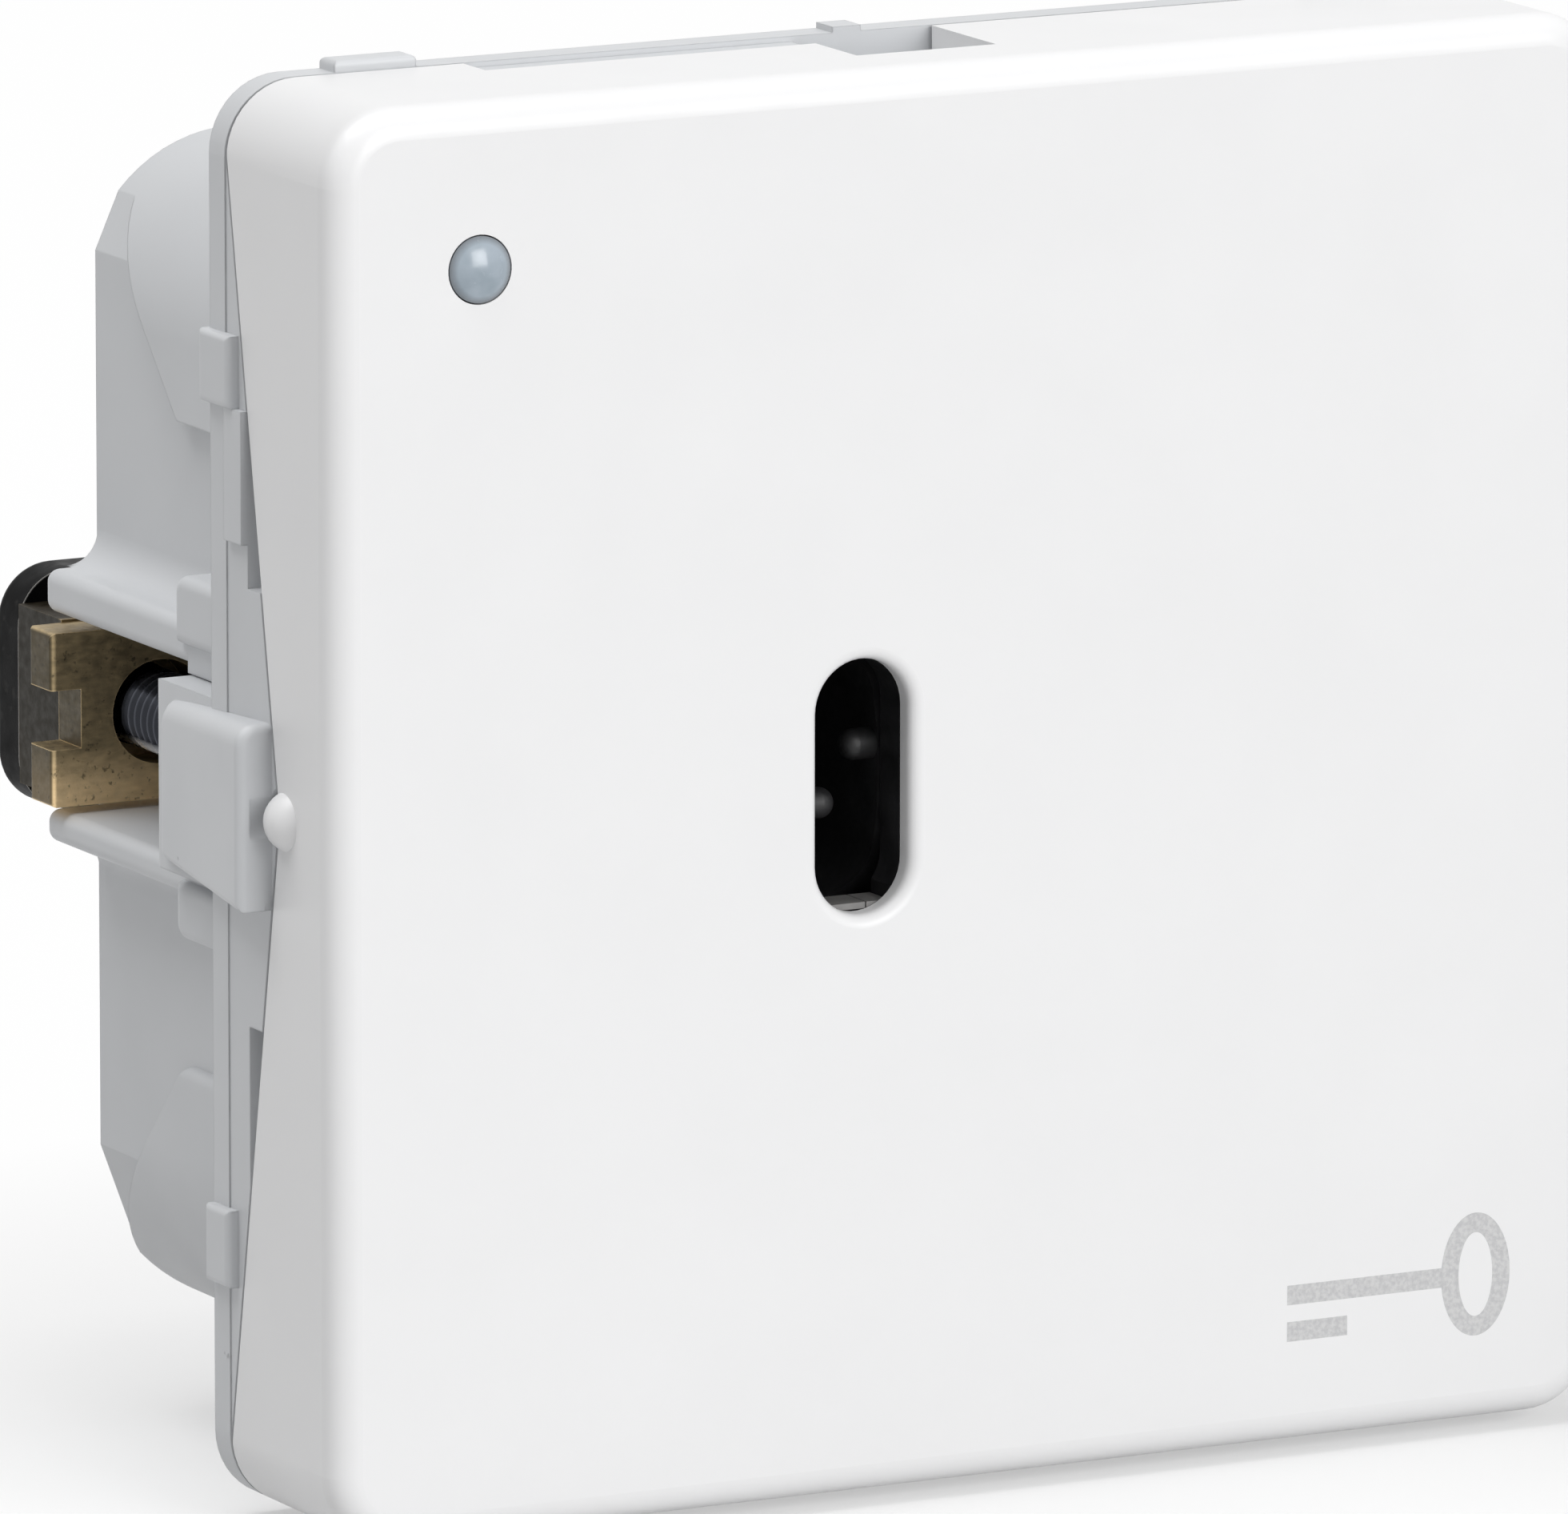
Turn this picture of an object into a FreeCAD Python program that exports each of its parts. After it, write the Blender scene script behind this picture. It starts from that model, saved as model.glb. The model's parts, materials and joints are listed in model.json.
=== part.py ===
"""Flush-mounted key switch with a fixed cover plate, a coded key pocket and two mounting claws.

Frame: X to the right, Y into the wall, Z up, in millimetres. The origin is the centre of the
plane on the back of the flange, which lies on the wall.
"""
import FreeCAD, Part
import math
import os

# Overall
MODULE = 49.6            # side of the square cover and flange
CORNER_R = 2.6           # corners of that square
DEPTH_FRONT = 9.3        # cover's face in front of the wall plane
BODY_DEPTH = 16.0        # housing behind the wall plane

# Clearances
SEAT_GAP = 0.15          # cover's rim above the flange
PART_GAP = 0.05          # between pieces that are fixed together
SLIDE_GAP = 0.12         # around a piece that slides in a guide
TURN_GAP = 0.04          # around a shaft that turns
FREE_GAP = 0.3           # between pieces that pass each other freely
OVERCUT = 1.0            # how far a cut runs past the faces that it opens
NEAR = 1e-4              # two coordinates closer than this are the same
ROOT = 1.0               # how far a lug, hook or tab starts inside the flange's side

# Cover plate
FACE_T = 1.8
SKIRT_T = 1.5
FACE_EDGE_R = 1.05
V_DEPTH = 3.9            # how far the side skirts are cut forward at mid height
V_INSET = 2.3            # ends of that V, in from the cover's top and bottom
NUB_R = 1.1
NUB_PROUD = 0.65
NUB_AHEAD = 0.25         # nub's centre in front of the V's point
PRY_X = (-3.1, 2.3)      # cut in the top skirt for a screwdriver
PRY_DEPTH = 4.65
PRY_RIB_W = 1.1
RELIEF_INSET = 9.0       # shallower cut beside it, in from the cover's left side
RELIEF_DEPTH = 1.65
POST_INSET = (11.8, 12.8)  # posts, in from the cover's sides and from its top and bottom
POST_R = 1.3

# Key slot and guide
SLOT_X = -4.45
SLOT_W = 3.6
SLOT_H = 8.9
SLOT_RIM_R = 0.45
GUIDE_SET_BACK = 0.9     # guide's front behind the cover's face
GUIDE_WALL = 1.0
GUIDE_FLANGE_T = 0.5
GUIDE_FLANGE_MARGIN = 1.9
SILL_HALF_W = 1.45       # square bottom of the guide's opening, and the sill that lies on it
SILL_ROOM = 1.2          # that square part reaches this far up
SILL_T = 0.22
SILL_SEAM = 0.5          # seam between the sill's halves, right of the slot's middle

# Indicator
LENS_INSET = (5.6, 5.66)  # lens, in from the cover's left side and top
LENS_R = 1.15
LENS_DOME = 0.4
LENS_COLLAR_MARGIN = 0.75
LENS_COLLAR_T = 0.6
LENS_GAP = 0.2           # between the lens and the light source

# Key symbol on the cover
SYMBOL_DEPTH = 0.12
BOW_INSET = (5.1, 5.3)   # bow's centre, in from the cover's right side and bottom
BOW_HALF_W = 1.38
BOW_HALF_H = 2.2
SYMBOL_STROKE = 0.7
SHANK_REACH = 7.53       # from the bow's centre to the shank's end
BIT_W = 2.4
BIT_DROP = 1.3

# Base frame
FLANGE_T = 1.2
FRAME_WALL_T = 1.2
FRAME_WALL_GAP = 1.3     # walls end this far behind the cover's plate
FRAME_WALL_INSET = 4.3   # ends of the walls, in from the flange's edge
V_GAP = 0.2              # between the cover's skirt and the walls inside it
V_WALL_SET_BACK = 0.05   # V wall behind the cover's side
V_WALL_DROP = 0.24       # V wall behind the skirt's cut edge
V_STEP_Z = (7.6, 13.6)   # the frame's side is cut back between these heights
V_STEP_Y = -2.75
V_STEP_WALL = 0.6        # wall that is left there
LUG_Y = (-4.5, 3.9)
LUG_REACH = (1.25, 0.2)  # past the flange's side, at the lug's front and back
LUG_HALF_H = (3.24, 2.8)  # at the same two places
LUG_R = 0.3
LUG_TOP_R = 0.7          # upper outer edge
LUG_END_R = 1.1          # its rear corner
TOWER_REACH = 0.1        # screw tower, short of the flange's side
TOWER_DEPTH = 4.75
TOWER_R = 0.5
HOOK_PROUD = 0.4
UPPER_HOOK_Y = (-2.1, 0.15)
UPPER_HOOK_Z = (13.7, 16.2)
LOWER_HOOK_Y = (-1.8, -0.05)
LOWER_HOOK_Z = (-16.9, -14.2)
RAIL_Z = (9.1, 13.7)
RAIL_PROUD = 0.2
TAB_INSET = (7.3, 4.2)   # sides of a tab, in from the flange's edge
TAB_PROUD = 0.4
SOCKET_WALL = 1.0
SOCKET_INSET = 2.2       # sockets start this far behind the cover's plate
EAR_T = 1.5
EAR_END = 1.7            # ears reach this far behind the rocker's axis
EAR_HALF_H = 2.2
SPIGOT_X = 12.0
SPIGOT_T = 1.2
SPIGOT_DEPTH = 2.5

# Rear housing
BODY_TOP_INSET = 4.6     # top of the housing, in from the flange's edge
BODY_TOP_SIDE_INSET = 2.8  # sides of its upper half
BODY_TOP_R = 5.9
BODY_BOTTOM_INSET = 2.9
BODY_BOTTOM_SIDE_INSET = 2.9
BODY_BOTTOM_R = 7.3
SIDE_INSET = 3.4         # flat sides at mid height
CORNER_CUTS = ((4.0, 24.0), (6.3, 20.5))  # below the top edge, angle; then at the bottom
SHOULDER_Z = 11.4        # shoulders stand proud of the flat sides above this height
SHOULDER_Y = 8.4         # depth of a shoulder at that height
SHOULDER_SLOPE = 0.92    # extra depth for each millimetre of height
SHOULDER_R = 0.42        # upper edge of the lower shoulders
HOUSING_WALL = 1.6
REAR_WALL = 1.6
CHANNEL_BELOW = 3.36     # channel's lower wall, below the claw screw
CHANNEL_ABOVE = 3.62     # its upper wall
CHANNEL_ROOM = 2.45      # from the claw screw's axis to the channel's floor
RIB_T = (1.17, 1.53)     # rib below the channel and rib above it
RIB_INSET = 1.3
RIB_R = 0.45
RIB_SHORT = 0.05         # ribs end this far before the housing's rear face
RIB_FILLET = 1.2
GUSSET_DEPTH = 4.85
GUSSET_H = (1.42, 1.65)  # past the lower rib and past the upper one
GUSSET_INSET = 0.9
GUSSET_R = 0.4
GUSSET_END_R = 0.6       # its rear corner
WEB_DEPTH = 4.5          # between the upper rib and the screw tower

# Rocker with the key pocket
ROCKER_AXIS_Y = 3.0
ROCKER_FRONT_GAP = 0.25  # between the guide and the rocker's round front
ROCKER_WALL = 1.35       # beside the pocket
ROCKER_END_WALL = 1.7    # above and below it
ROCKER_BACK = 2.0        # behind the axis
POCKET_FLOOR = 1.56      # between the pocket and the axle's hole
POCKET_MARGIN = 0.05
AXLE_R = 0.8
TAIL_R = 2.2
ROCKER_TILT = 7.0        # degrees each way
CODE_PIN_R = 0.55
CODE_PIN_SET_BACK = 0.6  # behind the rocker's front
UPPER_PIN_Z = 0.88
LOWER_PIN_Z = -1.05
UPPER_PIN_TIP = 0.65     # tips measured from the slot's centre line
LOWER_PIN_TIP = 0.36

# Plunger and its spring
PLUNGER_R = 1.4
PLUNGER_PROUD = 0.4      # nose's centre past the end of the rocker's tail
NOSE_GAP = 0.1           # between the nose and the contact lever
AXLE_WALL = 0.66         # between the axle's hole and the spring
STEM_R = 0.55
SPRING_R = 1.0
SPRING_WIRE_R = 0.15
SPRING_PITCH = 0.6
SPRING_TURNS = 3

# Contacts
LEVER_T = 0.7
LEVER_HALF_W = 2.0
LEVER_END = 0.1          # lever's arm past its tip
LEVER_RATIO = 0.6        # contact lever's turn for each degree of the rocker
TIP_BELOW_BUTTON = 2.6
TIP_R = 1.0
TIP_H = 0.6
FIXED_TIP_H = 0.5
CONTACT_GAP = 0.05       # left between the tips at full throw
STRIP_T = 0.8
PAD_HALF_H = 1.3
PAD_MARGIN = 0.5
STRIP_X = (1.6, 4.2)

# Wire terminals
WIRE_X = 7.0
WIRE_INSET = 4.7         # wire entries, in from the housing's top
WIRE_R = 1.6
TUBE_WALL = 1.0
TUBE_LENGTH = 4.5
CLAMP_Y = 4.0
CLAMP_HALF_W = 2.3
CLAMP_LINE_GAP = 0.1     # between a wire entry's wall and its clamp plate
CLAMP_SPRING_T = 0.3
CLAMP_SPRING_HALF_W = 1.5
CLAMP_BEND = 0.8         # corner of the bent springs
CLAMP_TAIL = 2.0         # part of a spring behind its button
BUTTON_PITCH = 5.0       # from a wire entry to its button
BUTTON_HALF_W = 1.6
BUTTON_HALF_H = 1.1
BUTTON_PROUD = 1.6
BUTTON_INSIDE = 2.2      # inside the housing's rear wall
BUTTON_TRAVEL = 1.5
BUTTON_STOP = 0.6
BUTTON_R = 0.3
INSULATOR_T = 1.15
INSULATOR_GAP = (1.7, 0.2)  # to the housing's walls at the sides and at the top
INSULATOR_R = 2.0

# Indicator board
BOARD_INSET = (3.3, 3.6)  # board, in from the flange's left side and top
BOARD_H = 4.8
BOARD_PAST_PIN = 2.2
BOARD_T = 0.8
BOARD_STAND = 1.4        # in front of the flange
BOARD_POST_R = 1.2
BOARD_POST_INSET = (4.8, 1.2)  # from the board's left and right ends
BOARD_PIN_R = 0.35
BOARD_PIN_PROUD = 0.5
SOLDER_GAP = 0.01        # under the parts on the board
LED_SIZE = 1.6
LED_H = 0.9
RESISTOR_ACROSS = (7.9, 11.1)  # from the board's left end
RESISTOR_DOWN = (3.1, 1.5)  # from its top edge
RESISTOR_H = 0.6
DIODE_ACROSS = (11.4, 8.0)  # from the board's right end
DIODE_DOWN = (3.2, 1.4)  # from its top edge
DIODE_H = 1.1

# Claws
SCREW_INSET = 5.05       # screw's axis, in from the flange's side
THREAD_R = 1.45
THREAD_PITCH = 0.5
THREAD_DEPTH = 0.18
THREAD_FREE = 1.0        # plain shank behind the tower, at least
THREAD_LEAD = 0.5        # taper at the screw's end
THREAD_TIP_R = 1.05
HEAD_R = 2.6
HEAD_T = 1.7
SCREW_SHORT = 0.4        # screw ends this far before the claw plate's rear face
DRIVE_W = 0.7
DRIVE_DEPTH = 0.8
CROSS_HALF = 1.6
NUT_INSIDE = 1.6         # nut's front inside the housing's channel
NUT_FRONT_T = 1.8
NUT_REAR_T = 3.45
NUT_INSET = 0.84         # nut's front block, in from the flange's side
NUT_REAR_INSET = 2.1
NUT_GAP = 0.27           # below the front block, in the channel
NUT_REAR_GAP = 0.17
NUT_NOTCH = 1.14
NUT_NOTCH_HALF = 1.05
NUT_EDGE_R = 0.2
NUT_SCREW_R = 1.85
CLAW_T = 2.0
CLAW_HALF_H = 4.3
CLAW_INSET = 2.1         # in from the flange's side
CLAW_W = 8.3
CLAW_R = 2.0
CLAW_EDGE_R = 0.5

# Worked out from the sizes above: outline
HALF = MODULE / 2
V_HALF = HALF - V_INSET
RELIEF_X = (RELIEF_INSET - HALF, PRY_X[0])
POST_X = HALF - POST_INSET[0]
POST_Z = HALF - POST_INSET[1]
LENS_X = LENS_INSET[0] - HALF
LENS_Z = HALF - LENS_INSET[1]
BOW_X = HALF - BOW_INSET[0]
BOW_Z = BOW_INSET[1] - HALF
SHANK_LEFT = BOW_X - SHANK_REACH
FRAME_WALL_HALF = HALF - FRAME_WALL_INSET
TAB_X = (HALF - TAB_INSET[0], HALF - TAB_INSET[1])
BODY_TOP = HALF - BODY_TOP_INSET
BODY_TOP_HALF_W = HALF - BODY_TOP_SIDE_INSET
BODY_BOTTOM = HALF - BODY_BOTTOM_INSET
BODY_BOTTOM_HALF_W = HALF - BODY_BOTTOM_SIDE_INSET
SIDE_HALF = HALF - SIDE_INSET
RIB_OUT = HALF - RIB_INSET
GUSSET_OUT = HALF - GUSSET_INSET
SCREW_X = HALF - SCREW_INSET
CHANNEL_FLOOR = SCREW_X - CHANNEL_ROOM
NUT_OUT = HALF - NUT_INSET
NUT_REAR_OUT = HALF - NUT_REAR_INSET
CLAW_OUT = HALF - CLAW_INSET

# Depths in front of the wall plane
FACE_Y = -DEPTH_FRONT
FACE_BACK_Y = FACE_Y + FACE_T
GUIDE_BACK_Y = FACE_BACK_Y + PART_GAP + GUIDE_FLANGE_T
FRAME_WALL_Y = FACE_BACK_Y + FRAME_WALL_GAP
FLANGE_FRONT_Y = -FLANGE_T
SKIRT_BACK_Y = FLANGE_FRONT_Y - SEAT_GAP
V_APEX_Y = SKIRT_BACK_Y - V_DEPTH
NUB_Y = V_APEX_Y - NUB_AHEAD
BOARD_BACK_Y = FLANGE_FRONT_Y - BOARD_STAND
BOARD_FRONT_Y = BOARD_BACK_Y - BOARD_T

# Depths behind it, from the housing's rear wall forward
REAR_INNER_Y = BODY_DEPTH - REAR_WALL
INSULATOR_BACK_Y = REAR_INNER_Y - PART_GAP
INSULATOR_Y = (INSULATOR_BACK_Y - INSULATOR_T, INSULATOR_BACK_Y)
STRIP_BACK_Y = INSULATOR_Y[0] - PART_GAP
STRIP_Y = STRIP_BACK_Y - STRIP_T
FIXED_TIP_Y = STRIP_Y - FIXED_TIP_H
LEVER_APEX_Y = FIXED_TIP_Y - CONTACT_GAP - TIP_H  # back of the contact lever at its pivot
TUBE_FRONT_Y = BODY_DEPTH - TUBE_LENGTH
BUTTON_END_Y = REAR_INNER_Y - BUTTON_INSIDE
NUT_FRONT_Y = BODY_DEPTH - NUT_INSIDE
NUT_STEP_Y = NUT_FRONT_Y + NUT_FRONT_T
NUT_END_Y = NUT_STEP_Y + NUT_REAR_T
CLAW_Y = NUT_END_Y + PART_GAP
SCREW_END_Y = CLAW_Y + CLAW_T - SCREW_SHORT

# Heights of the wires, buttons and contacts
WIRE_Z = BODY_TOP - WIRE_INSET
CLAMP_Z = WIRE_Z + WIRE_R + CLAMP_LINE_GAP
BUTTON_Z = WIRE_Z - BUTTON_PITCH
TIP_Z = BUTTON_Z - TIP_BELOW_BUTTON
LEVER_HALF_H = TIP_Z + TIP_R + LEVER_END
INSULATOR_HALF_W = CHANNEL_FLOOR - HOUSING_WALL - INSULATOR_GAP[0]
INSULATOR_HALF_H = BODY_TOP - HOUSING_WALL - INSULATOR_GAP[1]

# Rocker, plunger and lever
LEVER_TILT = ROCKER_TILT * LEVER_RATIO
ROCKER_FRONT_R = ROCKER_AXIS_Y - GUIDE_BACK_Y - ROCKER_FRONT_GAP
ROCKER_HALF_W = SLOT_W / 2 + POCKET_MARGIN + ROCKER_WALL
ROCKER_HALF_H = SLOT_H / 2 + POCKET_MARGIN + ROCKER_END_WALL
ROCKER_BACK_Y = ROCKER_AXIS_Y + ROCKER_BACK
POCKET_END_Y = ROCKER_AXIS_Y - AXLE_R - TURN_GAP - POCKET_FLOOR
CODE_PIN_Y = ROCKER_AXIS_Y - ROCKER_FRONT_R + CODE_PIN_SET_BACK
SPRING_LENGTH = SPRING_TURNS * SPRING_PITCH
SPRING_SEAT_Y = ROCKER_AXIS_Y + AXLE_R + TURN_GAP + AXLE_WALL
SPRING_Y = (SPRING_SEAT_Y + PART_GAP, SPRING_SEAT_Y + PART_GAP + SPRING_LENGTH)
PLUNGER_BACK_Y = SPRING_Y[1] + PART_GAP
PLUNGER_NOSE_Y = LEVER_APEX_Y - LEVER_T - NOSE_GAP - PLUNGER_R  # centre of its round nose
TAIL_END_Y = PLUNGER_NOSE_Y - PLUNGER_PROUD

# Screw hole and indicator board
SCREW_HOLE_R = THREAD_R + SLIDE_GAP
NUT_HALF_H = CHANNEL_BELOW - NUT_GAP
NUT_REAR_HALF_H = CHANNEL_BELOW - NUT_REAR_GAP
BOARD_X = (BOARD_INSET[0] - HALF, WIRE_X + BOARD_PAST_PIN)
BOARD_TOP = HALF - BOARD_INSET[1]
BOARD_Z = (BOARD_TOP - BOARD_H, BOARD_TOP)
BOARD_PIN_Z = CLAMP_Z + STRIP_T / 2  # pins that join the board to the clamp plates


def vec(x, y, z):
    """A point or direction."""
    return FreeCAD.Vector(x, y, z)


def box(x, y, z):
    """Block between pairs of limits along X, Y and Z, given in any order."""
    lo = vec(min(x), min(y), min(z))
    return Part.makeBox(abs(x[1] - x[0]), abs(y[1] - y[0]), abs(z[1] - z[0]), lo)


def rod_y(radius, y, x=0.0, z=0.0):
    """Round rod along Y between the two values in y."""
    return Part.makeCylinder(radius, y[1] - y[0], vec(x, y[0], z), vec(0, 1, 0))


def rod_x(radius, x, y, z):
    """Round rod along X between the two values in x."""
    return Part.makeCylinder(radius, x[1] - x[0], vec(x[0], y, z), vec(1, 0, 0))


def prism(points, direction):
    """Closed outline of straight sides, pushed along a direction."""
    loop = [vec(*p) for p in points]
    loop.append(loop[0])
    return Part.Face(Part.makePolygon(loop)).extrude(vec(*direction))


def side_prism(points, x):
    """Outline given as (Y, Z) points, between two values of X."""
    return prism([(x[0], p[0], p[1]) for p in points], (x[1] - x[0], 0, 0))


def top_prism(points, z):
    """Outline given as (X, Y) points, between two values of Z."""
    return prism([(p[0], p[1], z[0]) for p in points], (0, 0, z[1] - z[0]))


def rounded_slab(half_w, half_h, radius, y, x=0.0, z=0.0):
    """Rectangle with round corners in the XZ plane, between two values of Y."""
    slab = box((x - half_w, x + half_w), y, (z - half_h, z + half_h))
    along_y = [e for e in slab.Edges if abs(e.tangentAt(e.FirstParameter).y) > 0.99]
    return slab.makeFillet(radius, along_y)


def stadium(width, height, y, x=SLOT_X, z=0.0):
    """Upright slot shape with half-round ends, between two values of Y."""
    radius = width / 2
    straight = height / 2 - radius
    shape = box((x - radius, x + radius), y, (z - straight, z + straight))
    for end in (z - straight, z + straight):
        shape = shape.fuse(rod_y(radius, y, x, end))
    return shape.removeSplitter()


def joined(first, *others):
    """One solid from pieces that touch or overlap."""
    for other in others:
        first = first.fuse(other)
    return first.removeSplitter()


def mirrored_x(shape):
    """The same shape on the other side of the YZ plane."""
    return shape.mirror(vec(0, 0, 0), vec(1, 0, 0))


def mirrored_z(shape):
    """The same shape on the other side of the XY plane."""
    return shape.mirror(vec(0, 0, 0), vec(0, 0, 1))


def edges_in_plane(shape, axis, value):
    """Edges of a shape that lie in the plane where one coordinate has one value."""
    found = []
    for edge in shape.Edges:
        limits = edge.BoundBox
        low = getattr(limits, axis + "Min")
        high = getattr(limits, axis + "Max")
        if abs(low - value) < NEAR and abs(high - value) < NEAR:
            found.append(edge)
    return found


def key_symbol(y):
    """Bow, shank and bit of the key drawn on the cover, between two values of Y."""
    depth = y[1] - y[0]
    centre = vec(BOW_X, y[0], BOW_Z)
    rings = []
    for inset in (0.0, SYMBOL_STROKE):
        top = centre + vec(0, 0, BOW_HALF_H - inset)
        side = centre + vec(BOW_HALF_W - inset, 0, 0)
        oval = Part.Ellipse(top, side, centre).toShape()
        rings.append(Part.Face(Part.Wire(oval)).extrude(vec(0, depth, 0)))
    bow = rings[0].cut(rings[1])
    half = SYMBOL_STROKE / 2
    bow_left = BOW_X - BOW_HALF_W + half
    shank = box((SHANK_LEFT, bow_left), y, (BOW_Z - half, BOW_Z + half))
    bit_z = BOW_Z - BIT_DROP
    bit = box((SHANK_LEFT, SHANK_LEFT + BIT_W), y, (bit_z - half, bit_z + half))
    return [joined(bow, shank.cut(rings[1])), bit]


def cover_plate():
    """Square front cover with V-cut side skirts, side nubs and fixing posts."""
    cover = rounded_slab(HALF, HALF, CORNER_R, (FACE_Y, SKIRT_BACK_Y))
    cover = cover.makeFillet(FACE_EDGE_R, edges_in_plane(cover, "Y", FACE_Y))
    inner = HALF - SKIRT_T
    cavity = rounded_slab(inner, inner, CORNER_R - SKIRT_T / 2, (FACE_BACK_Y, 0))
    cover = cover.cut(cavity)

    slot = stadium(SLOT_W, SLOT_H, (FACE_Y - OVERCUT, FACE_BACK_Y + OVERCUT))
    cover = cover.cut(slot)
    slot_top = SLOT_H / 2 + PART_GAP
    rim = []
    for edge in edges_in_plane(cover, "Y", FACE_Y):
        middle = edge.CenterOfMass
        if abs(middle.x - SLOT_X) < SLOT_W and abs(middle.z) < slot_top:
            rim.append(edge)
    cover = cover.makeFillet(SLOT_RIM_R, rim)
    guide_w = SLOT_W + 2 * GUIDE_WALL + 2 * PART_GAP
    guide_h = SLOT_H + 2 * GUIDE_WALL + 2 * PART_GAP
    cover = cover.cut(stadium(guide_w, guide_h, (FACE_Y + GUIDE_SET_BACK, FACE_BACK_Y + OVERCUT)))

    through_skirt = (inner - OVERCUT, HALF + OVERCUT)
    v_cut = side_prism([(SKIRT_BACK_Y, V_HALF), (V_APEX_Y, 0), (SKIRT_BACK_Y, -V_HALF)], through_skirt)
    nub_x = HALF + NUB_PROUD - NUB_R
    nub = rod_x(NUB_R, (inner, nub_x), NUB_Y, 0)
    nub = nub.fuse(Part.makeSphere(NUB_R, vec(nub_x, NUB_Y, 0)))
    for side in (v_cut, mirrored_x(v_cut)):
        cover = cover.cut(side)
    for side in (nub, mirrored_x(nub)):
        cover = cover.fuse(side)

    cover = cover.cut(box(RELIEF_X, (SKIRT_BACK_Y - RELIEF_DEPTH, 0), through_skirt))
    cover = cover.cut(box(PRY_X, (SKIRT_BACK_Y - PRY_DEPTH, 0), through_skirt))

    cover = cover.cut(rod_y(LENS_R + PART_GAP, (FACE_Y - OVERCUT, FACE_BACK_Y + OVERCUT), LENS_X, LENS_Z))
    for mark in key_symbol((FACE_Y, FACE_Y + SYMBOL_DEPTH)):
        cover = cover.cut(mark)

    post_end = FLANGE_FRONT_Y - FREE_GAP
    for x in (-POST_X, POST_X):
        for z in (-POST_Z, POST_Z):
            cover = cover.fuse(rod_y(POST_R, (FACE_BACK_Y, post_end), x, z))
    return cover.removeSplitter()


def symbol_inlay():
    """Grey fill of the engraved key symbol, level with the cover's face."""
    return key_symbol((FACE_Y, FACE_Y + SYMBOL_DEPTH))


def key_guide():
    """Black insert that lines the key slot from behind the cover."""
    front = FACE_Y + GUIDE_SET_BACK + PART_GAP
    back = GUIDE_BACK_Y
    outer_w = SLOT_W + 2 * GUIDE_WALL
    outer_h = SLOT_H + 2 * GUIDE_WALL
    sleeve = stadium(outer_w, outer_h, (front, back))
    flange = box((SLOT_X - outer_w / 2 - GUIDE_FLANGE_MARGIN, SLOT_X + outer_w / 2 + GUIDE_FLANGE_MARGIN),
                 (back - GUIDE_FLANGE_T, back),
                 (-outer_h / 2 - GUIDE_FLANGE_MARGIN, outer_h / 2 + GUIDE_FLANGE_MARGIN))
    through = (front - OVERCUT, back + OVERCUT)
    square = box((SLOT_X - SILL_HALF_W, SLOT_X + SILL_HALF_W), through, (-SLOT_H / 2, SILL_ROOM - SLOT_H / 2))
    return joined(sleeve, flange).cut(stadium(SLOT_W, SLOT_H, through)).cut(square)


def slot_sill():
    """Two flat strips side by side on the bottom of the guide's opening."""
    y = (FACE_Y + GUIDE_SET_BACK + PART_GAP, GUIDE_BACK_Y)
    z = (PART_GAP - SLOT_H / 2, PART_GAP + SILL_T - SLOT_H / 2)
    seam = SLOT_X + SILL_SEAM
    left = box((SLOT_X - SILL_HALF_W + PART_GAP, seam - PART_GAP / 2), y, z)
    right = box((seam + PART_GAP / 2, SLOT_X + SILL_HALF_W - PART_GAP), y, z)
    return [left, right]


def indicator_lens():
    """Clear light guide with a domed front and a collar behind the cover."""
    front = FACE_Y
    stem = rod_y(LENS_R, (front, BOARD_FRONT_Y - LED_H - LENS_GAP), LENS_X, LENS_Z)
    dome_r = (LENS_R ** 2 + LENS_DOME ** 2) / (2 * LENS_DOME)
    dome = Part.makeSphere(dome_r, vec(LENS_X, front - LENS_DOME + dome_r, LENS_Z))
    dome = dome.common(rod_y(LENS_R, (front - LENS_DOME, front), LENS_X, LENS_Z))
    collar_y = FACE_BACK_Y + PART_GAP
    collar = rod_y(LENS_R + LENS_COLLAR_MARGIN, (collar_y, collar_y + LENS_COLLAR_T), LENS_X, LENS_Z)
    return joined(stem, dome, collar)


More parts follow.
